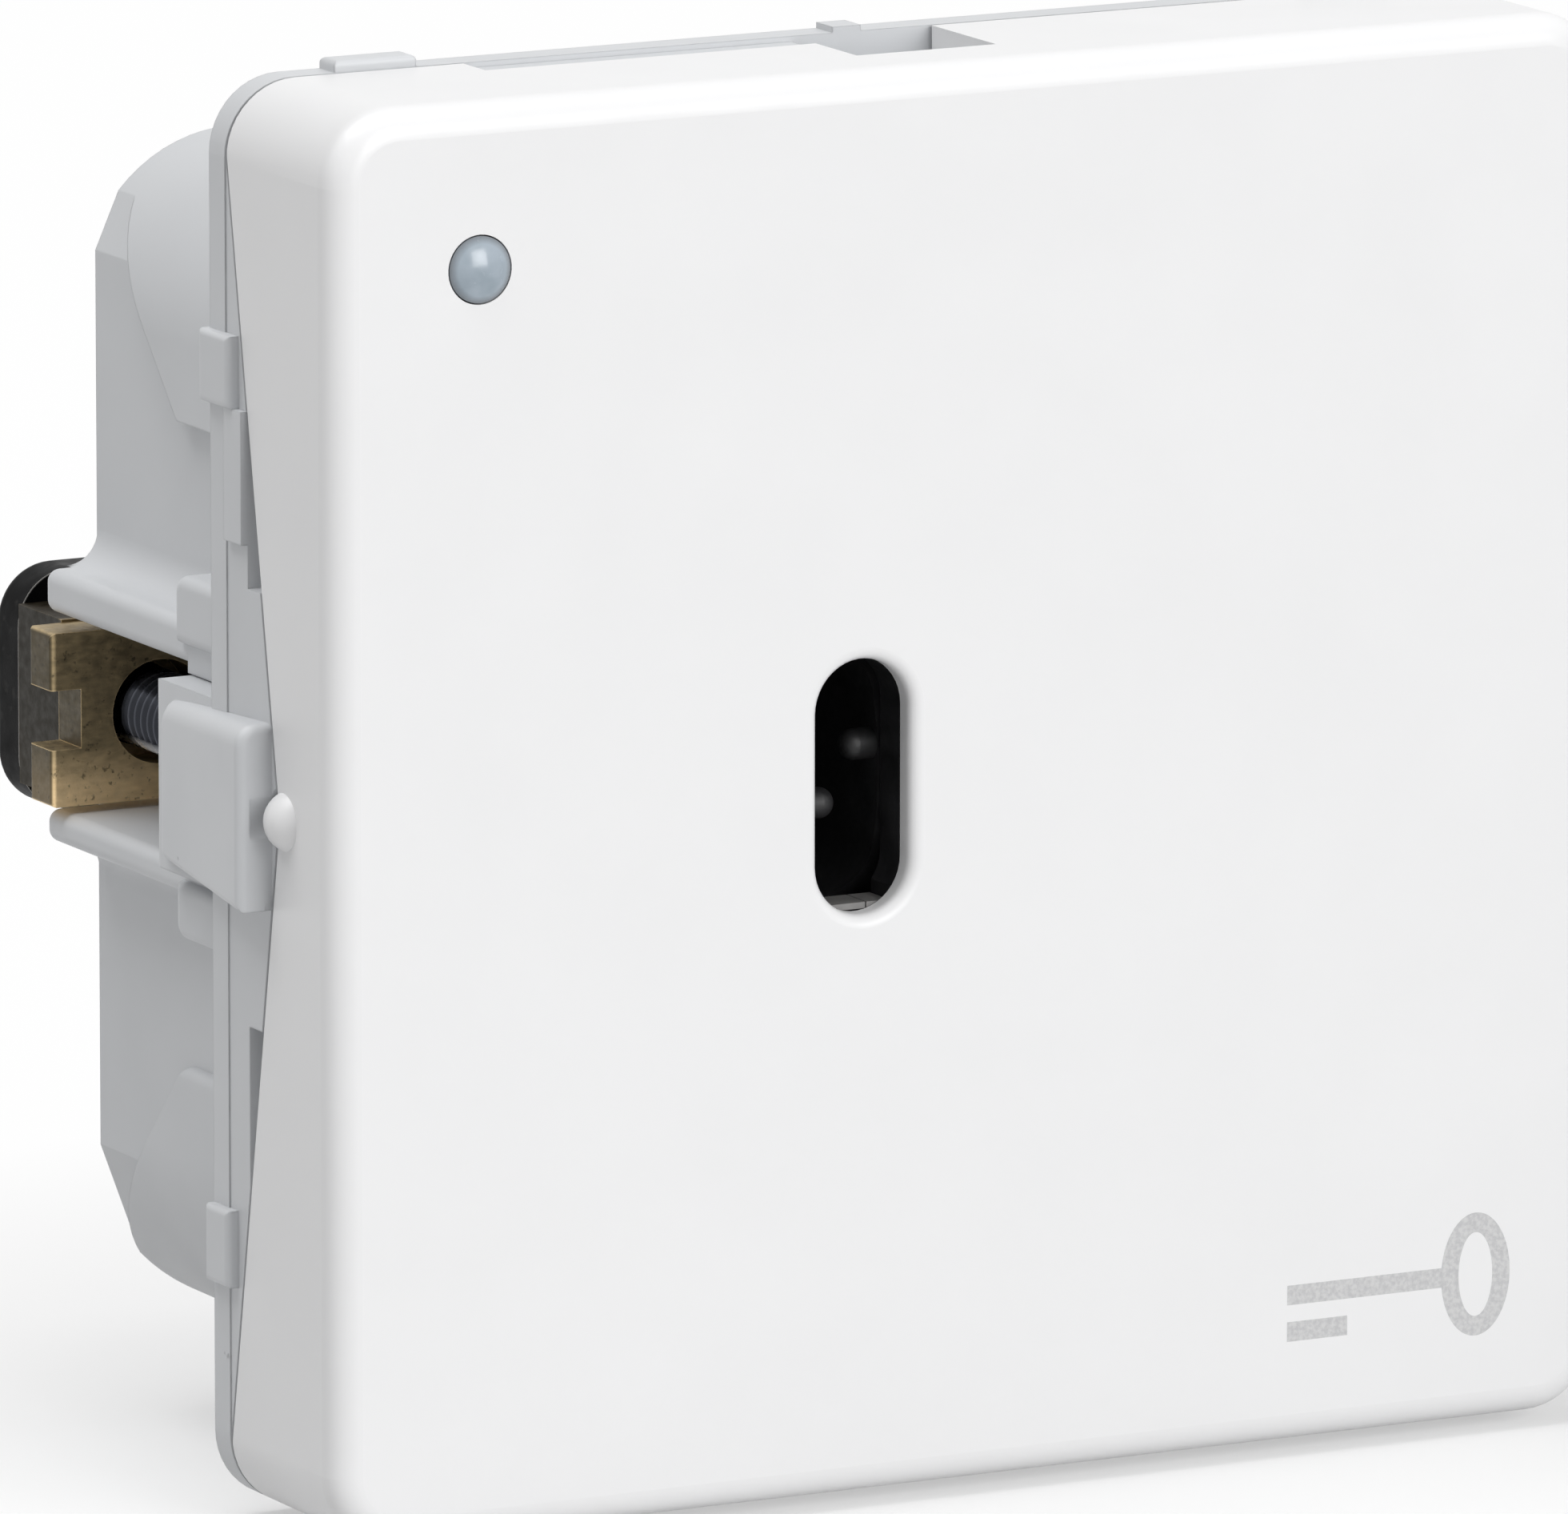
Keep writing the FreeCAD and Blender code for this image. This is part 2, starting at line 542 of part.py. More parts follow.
def frame_side():
    """Right side of the base frame: V wall, inner wall, lug, screw tower and hooks."""
    inner = HALF - SKIRT_T - V_GAP
    drop = V_WALL_DROP
    v_wall = side_prism([(FLANGE_FRONT_Y, V_HALF - drop), (V_APEX_Y + drop, 0),
                         (FLANGE_FRONT_Y, -V_HALF + drop)], (inner, HALF - V_WALL_SET_BACK))
    for low, high in ((V_STEP_Z[0], V_STEP_Z[1]), (-V_STEP_Z[1], -V_STEP_Z[0])):
        v_wall = v_wall.cut(box((inner + V_STEP_WALL, HALF),
                                (FACE_Y, V_STEP_Y), (low, high)))
    nub_room = rod_x(NUB_R + SLIDE_GAP, (inner - FRAME_WALL_T, HALF + NUB_PROUD + SLIDE_GAP), NUB_Y, 0)
    wall = box((inner - FRAME_WALL_T, inner), (FRAME_WALL_Y, 0),
               (-FRAME_WALL_HALF, FRAME_WALL_HALF))
    side = joined(v_wall, wall).cut(nub_room)

    seen_from_above = [(HALF - ROOT, LUG_Y[0]), (HALF + LUG_REACH[0], LUG_Y[0]),
                       (HALF + LUG_REACH[1], LUG_Y[1]), (HALF - ROOT, LUG_Y[1])]
    seen_from_side = [(LUG_Y[0], LUG_HALF_H[0]), (LUG_Y[1], LUG_HALF_H[1]),
                      (LUG_Y[1], -LUG_HALF_H[1]), (LUG_Y[0], -LUG_HALF_H[0])]
    lug = top_prism(seen_from_above, (-LUG_HALF_H[0], LUG_HALF_H[0]))
    form = side_prism(seen_from_side, (HALF - ROOT, HALF + LUG_REACH[0]))
    corner = [e for e in edges_in_plane(form, "Y", LUG_Y[1]) if e.BoundBox.ZMin > 0]
    lug = lug.common(form.makeFillet(LUG_END_R, corner))
    upper = [e for e in lug.Edges if e.BoundBox.XMin > HALF and e.BoundBox.ZMin > 0]
    lug = lug.makeFillet(LUG_TOP_R, upper)
    outer = [e for e in lug.Edges if e.BoundBox.XMin > HALF and e.BoundBox.ZMin < 0]
    skirt_room = side_prism([(FACE_Y, V_HALF), (SKIRT_BACK_Y + drop, V_HALF), (V_APEX_Y + drop, 0),
                             (SKIRT_BACK_Y + drop, -V_HALF), (FACE_Y, -V_HALF)],
                            (HALF - ROOT, HALF + V_GAP))
    lug = lug.makeFillet(LUG_R, outer).cut(nub_room).cut(skirt_room)

    tower = box((CHANNEL_FLOOR + PART_GAP, HALF - TOWER_REACH), (0, TOWER_DEPTH),
                (PART_GAP - CHANNEL_BELOW, CHANNEL_BELOW - PART_GAP))
    ends = [e for e in edges_in_plane(tower, "Y", TOWER_DEPTH) if e.BoundBox.XMax > HALF - ROOT]
    tower = tower.makeFillet(TOWER_R, ends)

    hooks = []
    for y, z in ((UPPER_HOOK_Y, UPPER_HOOK_Z), (LOWER_HOOK_Y, LOWER_HOOK_Z)):
        hook = box((HALF - ROOT, HALF + HOOK_PROUD), y, z)
        hooks.append(hook.makeFillet(HOOK_PROUD / 2, [e for e in hook.Edges if e.BoundBox.XMin > HALF]))
    rail = box((HALF - ROOT, HALF + RAIL_PROUD), (V_STEP_Y, FLANGE_FRONT_Y - V_GAP), RAIL_Z)
    side = joined(side, lug, tower, rail, *hooks)
    head_room = rod_y(HEAD_R + FREE_GAP, (FACE_Y, FLANGE_FRONT_Y), SCREW_X)
    return side.cut(head_room)


def base_frame():
    """Flange with the side walls, screw towers, axle ears and sockets of the base."""
    frame = rounded_slab(HALF, HALF, CORNER_R, (FLANGE_FRONT_Y, 0))
    side = frame_side()
    inner = HALF - SKIRT_T - V_GAP
    level = box((-FRAME_WALL_HALF, FRAME_WALL_HALF), (FRAME_WALL_Y, 0),
                (inner - FRAME_WALL_T, inner))
    frame = joined(frame, side, mirrored_x(side), level, mirrored_z(level))

    relief_gap = V_GAP + PART_GAP
    filler = box((RELIEF_X[0] + relief_gap, RELIEF_X[1]),
                 (SKIRT_BACK_Y - RELIEF_DEPTH + relief_gap, FLANGE_FRONT_Y), (inner, HALF - V_GAP))
    frame = frame.fuse(filler)
    tab = box(TAB_X, (FLANGE_FRONT_Y + PART_GAP, 0), (HALF - ROOT, HALF + TAB_PROUD))
    tab = tab.makeFillet(TAB_PROUD / 2, [e for e in tab.Edges if e.BoundBox.ZMin > HALF])
    for shape in (tab, mirrored_x(tab)):
        frame = frame.fuse(shape).fuse(mirrored_z(shape))
    pry_centre = (PRY_X[0] + PRY_X[1]) / 2
    frame = frame.fuse(box((pry_centre - PRY_RIB_W, pry_centre), (FLANGE_FRONT_Y, 0),
                           (HALF - ROOT, HALF + TAB_PROUD / 2)))

    for x in (-POST_X, POST_X):
        for z in (-POST_Z, POST_Z):
            socket = rod_y(POST_R + SOCKET_WALL, (FACE_BACK_Y + SOCKET_INSET, FLANGE_FRONT_Y), x, z)
            frame = frame.fuse(socket).cut(rod_y(POST_R + PART_GAP, (FACE_Y, FLANGE_FRONT_Y), x, z))

    window_w = ROCKER_HALF_W + FREE_GAP + SLIDE_GAP
    swing = math.radians(ROCKER_TILT) * (ROCKER_AXIS_Y + FLANGE_T)
    window_h = ROCKER_HALF_H + swing + FREE_GAP
    frame = frame.cut(box((SLOT_X - window_w, SLOT_X + window_w), (FACE_Y, FLANGE_T), (-window_h, window_h)))
    ear_in = ROCKER_HALF_W + FREE_GAP / 2
    for sign in (-1, 1):
        near = SLOT_X + sign * ear_in
        far = near + sign * EAR_T
        ear = box((near, far), (FLANGE_FRONT_Y, ROCKER_AXIS_Y + EAR_END), (-EAR_HALF_H, EAR_HALF_H))
        frame = frame.fuse(ear)
    axle_room = ear_in + EAR_T + OVERCUT
    frame = frame.cut(rod_x(AXLE_R + TURN_GAP, (SLOT_X - axle_room, SLOT_X + axle_room), ROCKER_AXIS_Y, 0))

    for sign, body_edge in ((1, BODY_TOP), (-1, BODY_BOTTOM)):
        near = sign * (body_edge - HOUSING_WALL - SLIDE_GAP)
        spigot = box((-SPIGOT_X, SPIGOT_X), (0, SPIGOT_DEPTH), (near, near - sign * SPIGOT_T))
        frame = frame.fuse(spigot)

    board_mid = (BOARD_Z[0] + BOARD_Z[1]) / 2
    for x in (BOARD_X[0] + BOARD_POST_INSET[0], BOARD_X[1] - BOARD_POST_INSET[1]):
        frame = frame.fuse(rod_y(BOARD_POST_R, (BOARD_BACK_Y + PART_GAP, FLANGE_FRONT_Y), x, board_mid))
    for x in (-WIRE_X, WIRE_X):
        frame = frame.cut(rod_y(BOARD_PIN_R + FREE_GAP, (FACE_Y, SPIGOT_DEPTH + OVERCUT), x, BOARD_PIN_Z))
    for x in (-SCREW_X, SCREW_X):
        frame = frame.cut(rod_y(SCREW_HOLE_R, (FACE_Y, TOWER_DEPTH + OVERCUT), x))
    return frame.removeSplitter()


def body_outline(inset, y):
    """Housing's form, drawn in by an inset: flat sides, large corners, lower at the top."""
    halves = []
    for half_w, half_h, radius, sign in ((BODY_TOP_HALF_W, BODY_TOP, BODY_TOP_R, 1),
                                         (BODY_BOTTOM_HALF_W, BODY_BOTTOM, BODY_BOTTOM_R, -1)):
        slab = rounded_slab(half_w - inset, half_h - inset, radius - inset, y)
        halves.append(slab.common(box((-half_w, half_w), y, (0, sign * half_h))))
    return joined(*halves)


def between_sides(shape, inset, y):
    """The part of a shape between the flat sides and the flats across the corners."""
    side = SIDE_HALF - inset
    right = []
    for edge, sign, (below, angle) in ((BODY_BOTTOM, -1, CORNER_CUTS[1]),
                                       (BODY_TOP, 1, CORNER_CUTS[0])):
        lean = math.radians(angle)
        start = edge - below - inset * math.tan(lean / 2)
        far = side - (HALF - start) * math.tan(lean)
        right += [(side, sign * start), (far, sign * HALF)][::sign]
    left = [(-x, z) for x, z in reversed(right)]
    limits = prism([(x, y[0], z) for x, z in right + left], (0, y[1] - y[0], 0))
    return shape.common(limits)


def rear_housing():
    """Cup behind the flange, with side channels for the claws and the wire tubes."""
    depth = (0, BODY_DEPTH)
    full = body_outline(0, depth)
    top = BODY_BOTTOM + OVERCUT
    top_y = SHOULDER_Y + SHOULDER_SLOPE * (top - SHOULDER_Z)
    shoulder = side_prism([(0, SHOULDER_Z), (SHOULDER_Y, SHOULDER_Z), (top_y, top), (0, top)],
                          (-HALF, HALF))
    lower = full.common(mirrored_z(shoulder))
    ledges = [e for e in edges_in_plane(lower, "Z", -SHOULDER_Z)
              if abs(abs(e.CenterOfMass.x) - BODY_BOTTOM_HALF_W) < NEAR]
    lower = lower.makeFillet(SHOULDER_R, ledges)
    body = joined(between_sides(full, 0, depth), full.common(shoulder), lower)

    hollow = (-OVERCUT, REAR_INNER_Y)
    cavity = between_sides(body_outline(HOUSING_WALL, hollow), HOUSING_WALL, hollow)
    channel_walls = (-CHANNEL_BELOW - HOUSING_WALL, CHANNEL_ABOVE + HOUSING_WALL)
    for sign in (-1, 1):
        cavity = cavity.cut(box((sign * (CHANNEL_FLOOR - HOUSING_WALL), sign * HALF),
                                (-OVERCUT, BODY_DEPTH), channel_walls))
    body = body.cut(cavity)
    for sign in (-1, 1):
        body = body.cut(box((sign * CHANNEL_FLOOR, sign * HALF), (-OVERCUT, BODY_DEPTH + OVERCUT),
                            (-CHANNEL_BELOW, CHANNEL_ABOVE)))

    for shape in channel_rib(CHANNEL_ABOVE, RIB_T[1], GUSSET_H[1]):
        body = body.fuse(shape).fuse(mirrored_x(shape))
    for shape in channel_rib(CHANNEL_BELOW, RIB_T[0], GUSSET_H[0]):
        low = mirrored_z(shape)
        body = body.fuse(low).fuse(mirrored_x(low))

    for x, z in wire_places():
        body = body.fuse(rod_y(WIRE_R + TUBE_WALL, (TUBE_FRONT_Y, BODY_DEPTH), x, z))
        body = body.cut(rod_y(WIRE_R, (TUBE_FRONT_Y - OVERCUT, BODY_DEPTH + OVERCUT), x, z))
    for x, z in button_places():
        body = body.cut(box((x - BUTTON_HALF_W - SLIDE_GAP, x + BUTTON_HALF_W + SLIDE_GAP),
                            (REAR_INNER_Y - OVERCUT, BODY_DEPTH + OVERCUT),
                            (z - BUTTON_HALF_H - SLIDE_GAP, z + BUTTON_HALF_H + SLIDE_GAP)))
    return body.removeSplitter()


def channel_rib(z, thickness, gusset_h):
    """Rib above a channel's wall at one height, with its foot, gusset and web."""
    root = SIDE_HALF - HOUSING_WALL / 2
    end = BODY_DEPTH - RIB_SHORT
    rib = box((root, RIB_OUT), (0, end), (z, z + thickness))
    rib = rib.makeFillet(RIB_R, edges_in_plane(rib, "X", RIB_OUT) + edges_in_plane(rib, "Y", end))
    top = z + thickness + gusset_h
    gusset = box((root, GUSSET_OUT), (0, GUSSET_DEPTH), (z + thickness / 2, top))
    corner = [e for e in edges_in_plane(gusset, "Y", GUSSET_DEPTH) if e.BoundBox.ZMin > z + thickness]
    gusset = gusset.makeFillet(GUSSET_END_R, corner)
    gusset = gusset.makeFillet(GUSSET_R, edges_in_plane(gusset, "X", GUSSET_OUT))
    web = box((root, RIB_OUT), (0, WEB_DEPTH), (CHANNEL_BELOW, z + thickness / 2))
    return rib, side_fillet(z + thickness), gusset, web


def side_fillet(z):
    """Concave strip that blends a channel rib into the housing's flat side."""
    x = SIDE_HALF
    length = BODY_DEPTH - RIB_SHORT
    corner = Part.makeBox(RIB_FILLET, length, RIB_FILLET, vec(x, 0, z))
    hollow = rod_y(RIB_FILLET, (-OVERCUT, length + OVERCUT), x + RIB_FILLET, z + RIB_FILLET)
    return corner.cut(hollow)


def wire_places():
    """Centres (X, Z) of the four wire entries."""
    return [(x, z) for x in (-WIRE_X, WIRE_X) for z in (WIRE_Z, -WIRE_Z)]


def button_places():
    """Centres (X, Z) of the four release buttons."""
    return [(x, z) for x in (-WIRE_X, WIRE_X) for z in (BUTTON_Z, -BUTTON_Z)]


def key_rocker():
    """Black rocker with the key's pocket in front and the plunger's tube behind."""
    x = (SLOT_X - ROCKER_HALF_W, SLOT_X + ROCKER_HALF_W)
    front = rod_x(ROCKER_FRONT_R, x, ROCKER_AXIS_Y, 0)
    front = front.common(box(x, (FACE_Y, ROCKER_BACK_Y), (-ROCKER_HALF_H, ROCKER_HALF_H)))
    tail = rod_y(TAIL_R, (ROCKER_BACK_Y - OVERCUT, TAIL_END_Y), SLOT_X)
    rocker = joined(front, tail)
    pocket = stadium(SLOT_W + 2 * POCKET_MARGIN, SLOT_H + 2 * POCKET_MARGIN, (FACE_Y, POCKET_END_Y))
    rocker = rocker.cut(pocket)
    rocker = rocker.cut(rod_y(PLUNGER_R + PART_GAP, (SPRING_SEAT_Y, TAIL_END_Y + OVERCUT), SLOT_X))
    axle_x = (x[0] - OVERCUT, x[1] + OVERCUT)
    rocker = rocker.cut(rod_x(AXLE_R + TURN_GAP, axle_x, ROCKER_AXIS_Y, 0))
    wall = SLOT_W / 2 + POCKET_MARGIN
    rocker = rocker.cut(rod_x(CODE_PIN_R, (SLOT_X + wall - OVERCUT, x[1] + OVERCUT), CODE_PIN_Y, UPPER_PIN_Z))
    return rocker.cut(rod_x(CODE_PIN_R, (x[0] - OVERCUT, SLOT_X - wall + OVERCUT), CODE_PIN_Y, LOWER_PIN_Z))


def code_pins():
    """Two round-nosed pins that only the right key passes."""
    upper_tip = SLOT_X + UPPER_PIN_TIP
    lower_tip = SLOT_X + LOWER_PIN_TIP
    ends = ((upper_tip + CODE_PIN_R, SLOT_X + ROCKER_HALF_W, upper_tip + CODE_PIN_R, UPPER_PIN_Z),
            (SLOT_X - ROCKER_HALF_W, lower_tip - CODE_PIN_R, lower_tip - CODE_PIN_R, LOWER_PIN_Z))
    pins = []
    for left, right, nose, z in ends:
        pin = rod_x(CODE_PIN_R, (left, right), CODE_PIN_Y, z)
        pins.append(joined(pin, Part.makeSphere(CODE_PIN_R, vec(nose, CODE_PIN_Y, z))))
    return pins


def rocker_axle():
    """Steel pin through the rocker and the frame's two ears."""
    reach = ROCKER_HALF_W + FREE_GAP / 2 + EAR_T
    return rod_x(AXLE_R, (SLOT_X - reach, SLOT_X + reach), ROCKER_AXIS_Y, 0)


def plunger():
    """Round-nosed plunger in the rocker's tail."""
    body = rod_y(PLUNGER_R, (PLUNGER_BACK_Y, PLUNGER_NOSE_Y), SLOT_X)
    nose = Part.makeSphere(PLUNGER_R, vec(SLOT_X, PLUNGER_NOSE_Y, 0))
    stem = rod_y(STEM_R, (PLUNGER_BACK_Y - SPRING_LENGTH / 2, PLUNGER_BACK_Y), SLOT_X)
    return joined(body, nose, stem)


def coil(radius, wire_r, turns, y, x):
    """Helical spring along Y between two values of Y, made of quarter-turn arcs."""
    span = y[1] - y[0] - 2 * wire_r
    quarters = turns * 4

    def at(step):
        angle = step * math.pi / 2
        return vec(x + radius * math.cos(angle), y[0] + wire_r + span * step / quarters,
                   radius * math.sin(angle))

    arcs = [Part.Arc(at(n), at(n + 0.5), at(n + 1)).toShape() for n in range(quarters)]
    path = Part.Wire(arcs)
    start = at(0)
    ring = Part.Circle(start, arcs[0].tangentAt(arcs[0].FirstParameter), wire_r).toShape()
    shell = path.makePipeShell([Part.Wire(ring)], True, False)
    return shell


def plunger_spring():
    """Coil spring between the rocker and its plunger."""
    return coil(SPRING_R, SPRING_WIRE_R, SPRING_TURNS, SPRING_Y, SLOT_X)


def contact_lever():
    """See-saw contact strip, bent to a shallow V about its pivot."""
    tilt = math.radians(LEVER_TILT)
    drop = LEVER_HALF_H * math.tan(tilt)
    back = LEVER_APEX_Y
    front = LEVER_APEX_Y - LEVER_T
    points = [(back, 0), (back - drop, LEVER_HALF_H), (front - drop, LEVER_HALF_H), (front, 0),
              (front - drop, -LEVER_HALF_H), (back - drop, -LEVER_HALF_H)]
    return side_prism(points, (SLOT_X - LEVER_HALF_W, SLOT_X + LEVER_HALF_W))


def lever_tips():
    """Silver tips on the back of the contact lever, square to its arms."""
    tips = []
    for sign in (-1, 1):
        tilt = math.radians(LEVER_TILT)
        normal = vec(0, math.cos(tilt), sign * math.sin(tilt))
        arm_y = LEVER_APEX_Y - TIP_Z * math.tan(tilt)
        tips.append(Part.makeCylinder(TIP_R, TIP_H, vec(SLOT_X, arm_y, sign * TIP_Z), normal))
    return tips


def fixed_tips():
    """Silver tips of the two switched terminals, facing the lever's tips."""
    y = (FIXED_TIP_Y, STRIP_Y)
    return [rod_y(TIP_R, y, SLOT_X, sign * TIP_Z) for sign in (-1, 1)]


def clamp_plate(sign_x):
    """Plate that a wire is pressed on, and the strip from it to the contacts' plane."""
    far = WIRE_X + CLAMP_HALF_W
    plate = box((sign_x * STRIP_X[0], sign_x * far), (CLAMP_Y, TUBE_FRONT_Y - FREE_GAP),
                (CLAMP_Z, CLAMP_Z + STRIP_T))
    neck = box((sign_x * STRIP_X[0], sign_x * STRIP_X[1]), (CLAMP_Y, STRIP_BACK_Y),
               (CLAMP_Z, CLAMP_Z + STRIP_T))
    return joined(plate, neck)


def terminal_up():
    """Terminal that the contact lever reaches with its upper arm."""
    strip = box((-STRIP_X[0], -STRIP_X[1]), (STRIP_Y, STRIP_BACK_Y), (TIP_Z - PAD_HALF_H, CLAMP_Z + STRIP_T))
    pad = box((-STRIP_X[0], SLOT_X - TIP_R - PAD_MARGIN), (STRIP_Y, STRIP_BACK_Y),
              (TIP_Z - PAD_HALF_H, TIP_Z + PAD_HALF_H))
    return joined(clamp_plate(-1), strip, pad)


def terminal_down():
    """Terminal that the contact lever reaches with its lower arm."""
    return mirrored_z(terminal_up())


def terminal_common():
    """Terminal with the tongue on which the contact lever rocks."""
    strip = box(STRIP_X, (STRIP_Y, STRIP_BACK_Y), (-STRIP_X[0], CLAMP_Z + STRIP_T))
    cross = box((SLOT_X - LEVER_HALF_W, STRIP_X[1]), (STRIP_Y, STRIP_BACK_Y), (-STRIP_X[0], STRIP_X[0]))
    tongue_half_w = LEVER_HALF_W - PAD_MARGIN
    tongue = box((SLOT_X - tongue_half_w, SLOT_X + tongue_half_w),
                 (LEVER_APEX_Y + PART_GAP, STRIP_Y), (-STRIP_T / 2, STRIP_T / 2))
    return joined(clamp_plate(1), strip, cross, tongue)


def terminal_loop():
    """Spare terminal that only joins wires."""
    strip = box(STRIP_X, (STRIP_Y, STRIP_BACK_Y), (TIP_Z, CLAMP_Z + STRIP_T))
    return mirrored_z(joined(clamp_plate(1), strip))


def clamp_springs():
    """Four bent leaf springs that press the wires on their clamp plates."""
    t = CLAMP_SPRING_T
    low = BUTTON_Z + BUTTON_HALF_H + FREE_GAP
    top = CLAMP_Z - SLIDE_GAP
    tail_y = BUTTON_END_Y - BUTTON_TRAVEL - FREE_GAP
    bend = CLAMP_BEND
    bend_y = CLAMP_Y + 2 * t
    mid = (low + top) / 2 + t
    outer = [(tail_y, low - CLAMP_TAIL), (tail_y, low + t), (bend_y + bend, low + t),
             (bend_y + t, low + bend + t / 2), (bend_y + t, mid - bend / 2), (bend_y + bend, mid),
             (tail_y - bend, top - t), (tail_y - bend, top)]
    inner = [(bend_y + 2 * t, mid + t), (bend_y, mid - t), (bend_y, low + bend), (bend_y + bend - t / 3, low),
             (tail_y - t, low), (tail_y - t, low - CLAMP_TAIL)]
    spring = side_prism(outer + inner, (WIRE_X - CLAMP_SPRING_HALF_W, WIRE_X + CLAMP_SPRING_HALF_W))
    springs = [spring, mirrored_x(spring)]
    return springs + [mirrored_z(s) for s in springs]


def release_button(x, z):
    """Push button beside a wire entry, with a stop that keeps it in the housing."""
    outer = BODY_DEPTH + BUTTON_PROUD
    button = box((x - BUTTON_HALF_W, x + BUTTON_HALF_W), (BUTTON_END_Y, outer),
                 (z - BUTTON_HALF_H, z + BUTTON_HALF_H))
    cap_edges = edges_in_plane(button, "Y", outer)
    button = button.makeFillet(BUTTON_R, cap_edges)
    side = math.copysign(1, x)
    stop = box((x, x + side * (BUTTON_HALF_W + BUTTON_STOP)), (BUTTON_END_Y, INSULATOR_Y[0] - SLIDE_GAP),
               (z - BUTTON_HALF_H, z + BUTTON_HALF_H))
    return joined(button, stop)


def insulator_plate():
    """Plate between the terminals and the housing's rear wall."""
    plate = rounded_slab(INSULATOR_HALF_W, INSULATOR_HALF_H, INSULATOR_R, INSULATOR_Y)
    through = (INSULATOR_Y[0] - OVERCUT, INSULATOR_Y[1] + OVERCUT)
    for x, z in wire_places():
        plate = plate.cut(rod_y(WIRE_R + TUBE_WALL + PART_GAP, through, x, z))
    for x, z in button_places():
        plate = plate.cut(box((x - BUTTON_HALF_W - SLIDE_GAP, x + BUTTON_HALF_W + SLIDE_GAP), through,
                              (z - BUTTON_HALF_H - SLIDE_GAP, z + BUTTON_HALF_H + SLIDE_GAP)))
    return plate


def led_board():
    """Circuit board of the indicator, across the top of the frame."""
    board = box(BOARD_X, (BOARD_FRONT_Y, BOARD_BACK_Y), BOARD_Z)
    for x in (-WIRE_X, WIRE_X):
        board = board.cut(rod_y(BOARD_PIN_R + PART_GAP, (FACE_Y, 0), x, BOARD_PIN_Z))
    return board


def board_pins():
    """Pins from the indicator board to two clamp plates."""
    y = (BOARD_FRONT_Y - BOARD_PIN_PROUD, CLAMP_Y - PART_GAP)
    return [rod_y(BOARD_PIN_R, y, x, BOARD_PIN_Z) for x in (-WIRE_X, WIRE_X)]


def led_chip():
    """Light source behind the lens."""
    half = LED_SIZE / 2
    return box((LENS_X - half, LENS_X + half), (BOARD_FRONT_Y - LED_H, BOARD_FRONT_Y - SOLDER_GAP),
               (LENS_Z - half / 2, LENS_Z + half / 2))


def series_resistor():
    """Resistor on the indicator board."""
    x = [BOARD_X[0] + across for across in RESISTOR_ACROSS]
    z = [BOARD_TOP - down for down in RESISTOR_DOWN]
    return box(x, (BOARD_FRONT_Y - RESISTOR_H, BOARD_FRONT_Y - SOLDER_GAP), z)


def series_diode():
    """Diode on the indicator board."""
    x = [BOARD_X[1] - across for across in DIODE_ACROSS]
    z = [BOARD_TOP - down for down in DIODE_DOWN]
    return box(x, (BOARD_FRONT_Y - DIODE_H, BOARD_FRONT_Y - SOLDER_GAP), z)


def claw_screw():
    """Right claw's screw: slotted pan head in front of the flange, long fine thread."""
    head_back = FLANGE_FRONT_Y - PART_GAP
    head_front = head_back - HEAD_T
    turns = int((SCREW_END_Y - TOWER_DEPTH - THREAD_FREE) / THREAD_PITCH)
    thread_start = SCREW_END_Y - THREAD_LEAD - turns * THREAD_PITCH
    points = [(0, head_back), (THREAD_R - THREAD_DEPTH, head_back),
              (THREAD_R - THREAD_DEPTH, thread_start)]
    for n in range(turns):
        y = thread_start + n * THREAD_PITCH
        points.append((THREAD_R, y + THREAD_PITCH / 2))
        points.append((THREAD_R - THREAD_DEPTH, y + THREAD_PITCH))
    points += [(THREAD_TIP_R, SCREW_END_Y), (0, SCREW_END_Y)]
    loop = [vec(SCREW_X + r, y, 0) for r, y in points]
    loop.append(loop[0])
    shaft = Part.Face(Part.makePolygon(loop)).revolve(vec(SCREW_X, 0, 0), vec(0, 1, 0), 360)
    head = rod_y(HEAD_R, (head_front, head_back), SCREW_X)
    head = head.makeFillet(HEAD_T / 2, edges_in_plane(head, "Y", head_front))
    drive = box((SCREW_X - HEAD_R, SCREW_X + HEAD_R), (head_front - OVERCUT, head_front + DRIVE_DEPTH),
                (-DRIVE_W / 2, DRIVE_W / 2))
    across = box((SCREW_X - DRIVE_W / 2, SCREW_X + DRIVE_W / 2),
                 (head_front - OVERCUT, head_front + DRIVE_DEPTH),
                 (-CROSS_HALF, CROSS_HALF))
    return joined(head, shaft).cut(drive).cut(across)


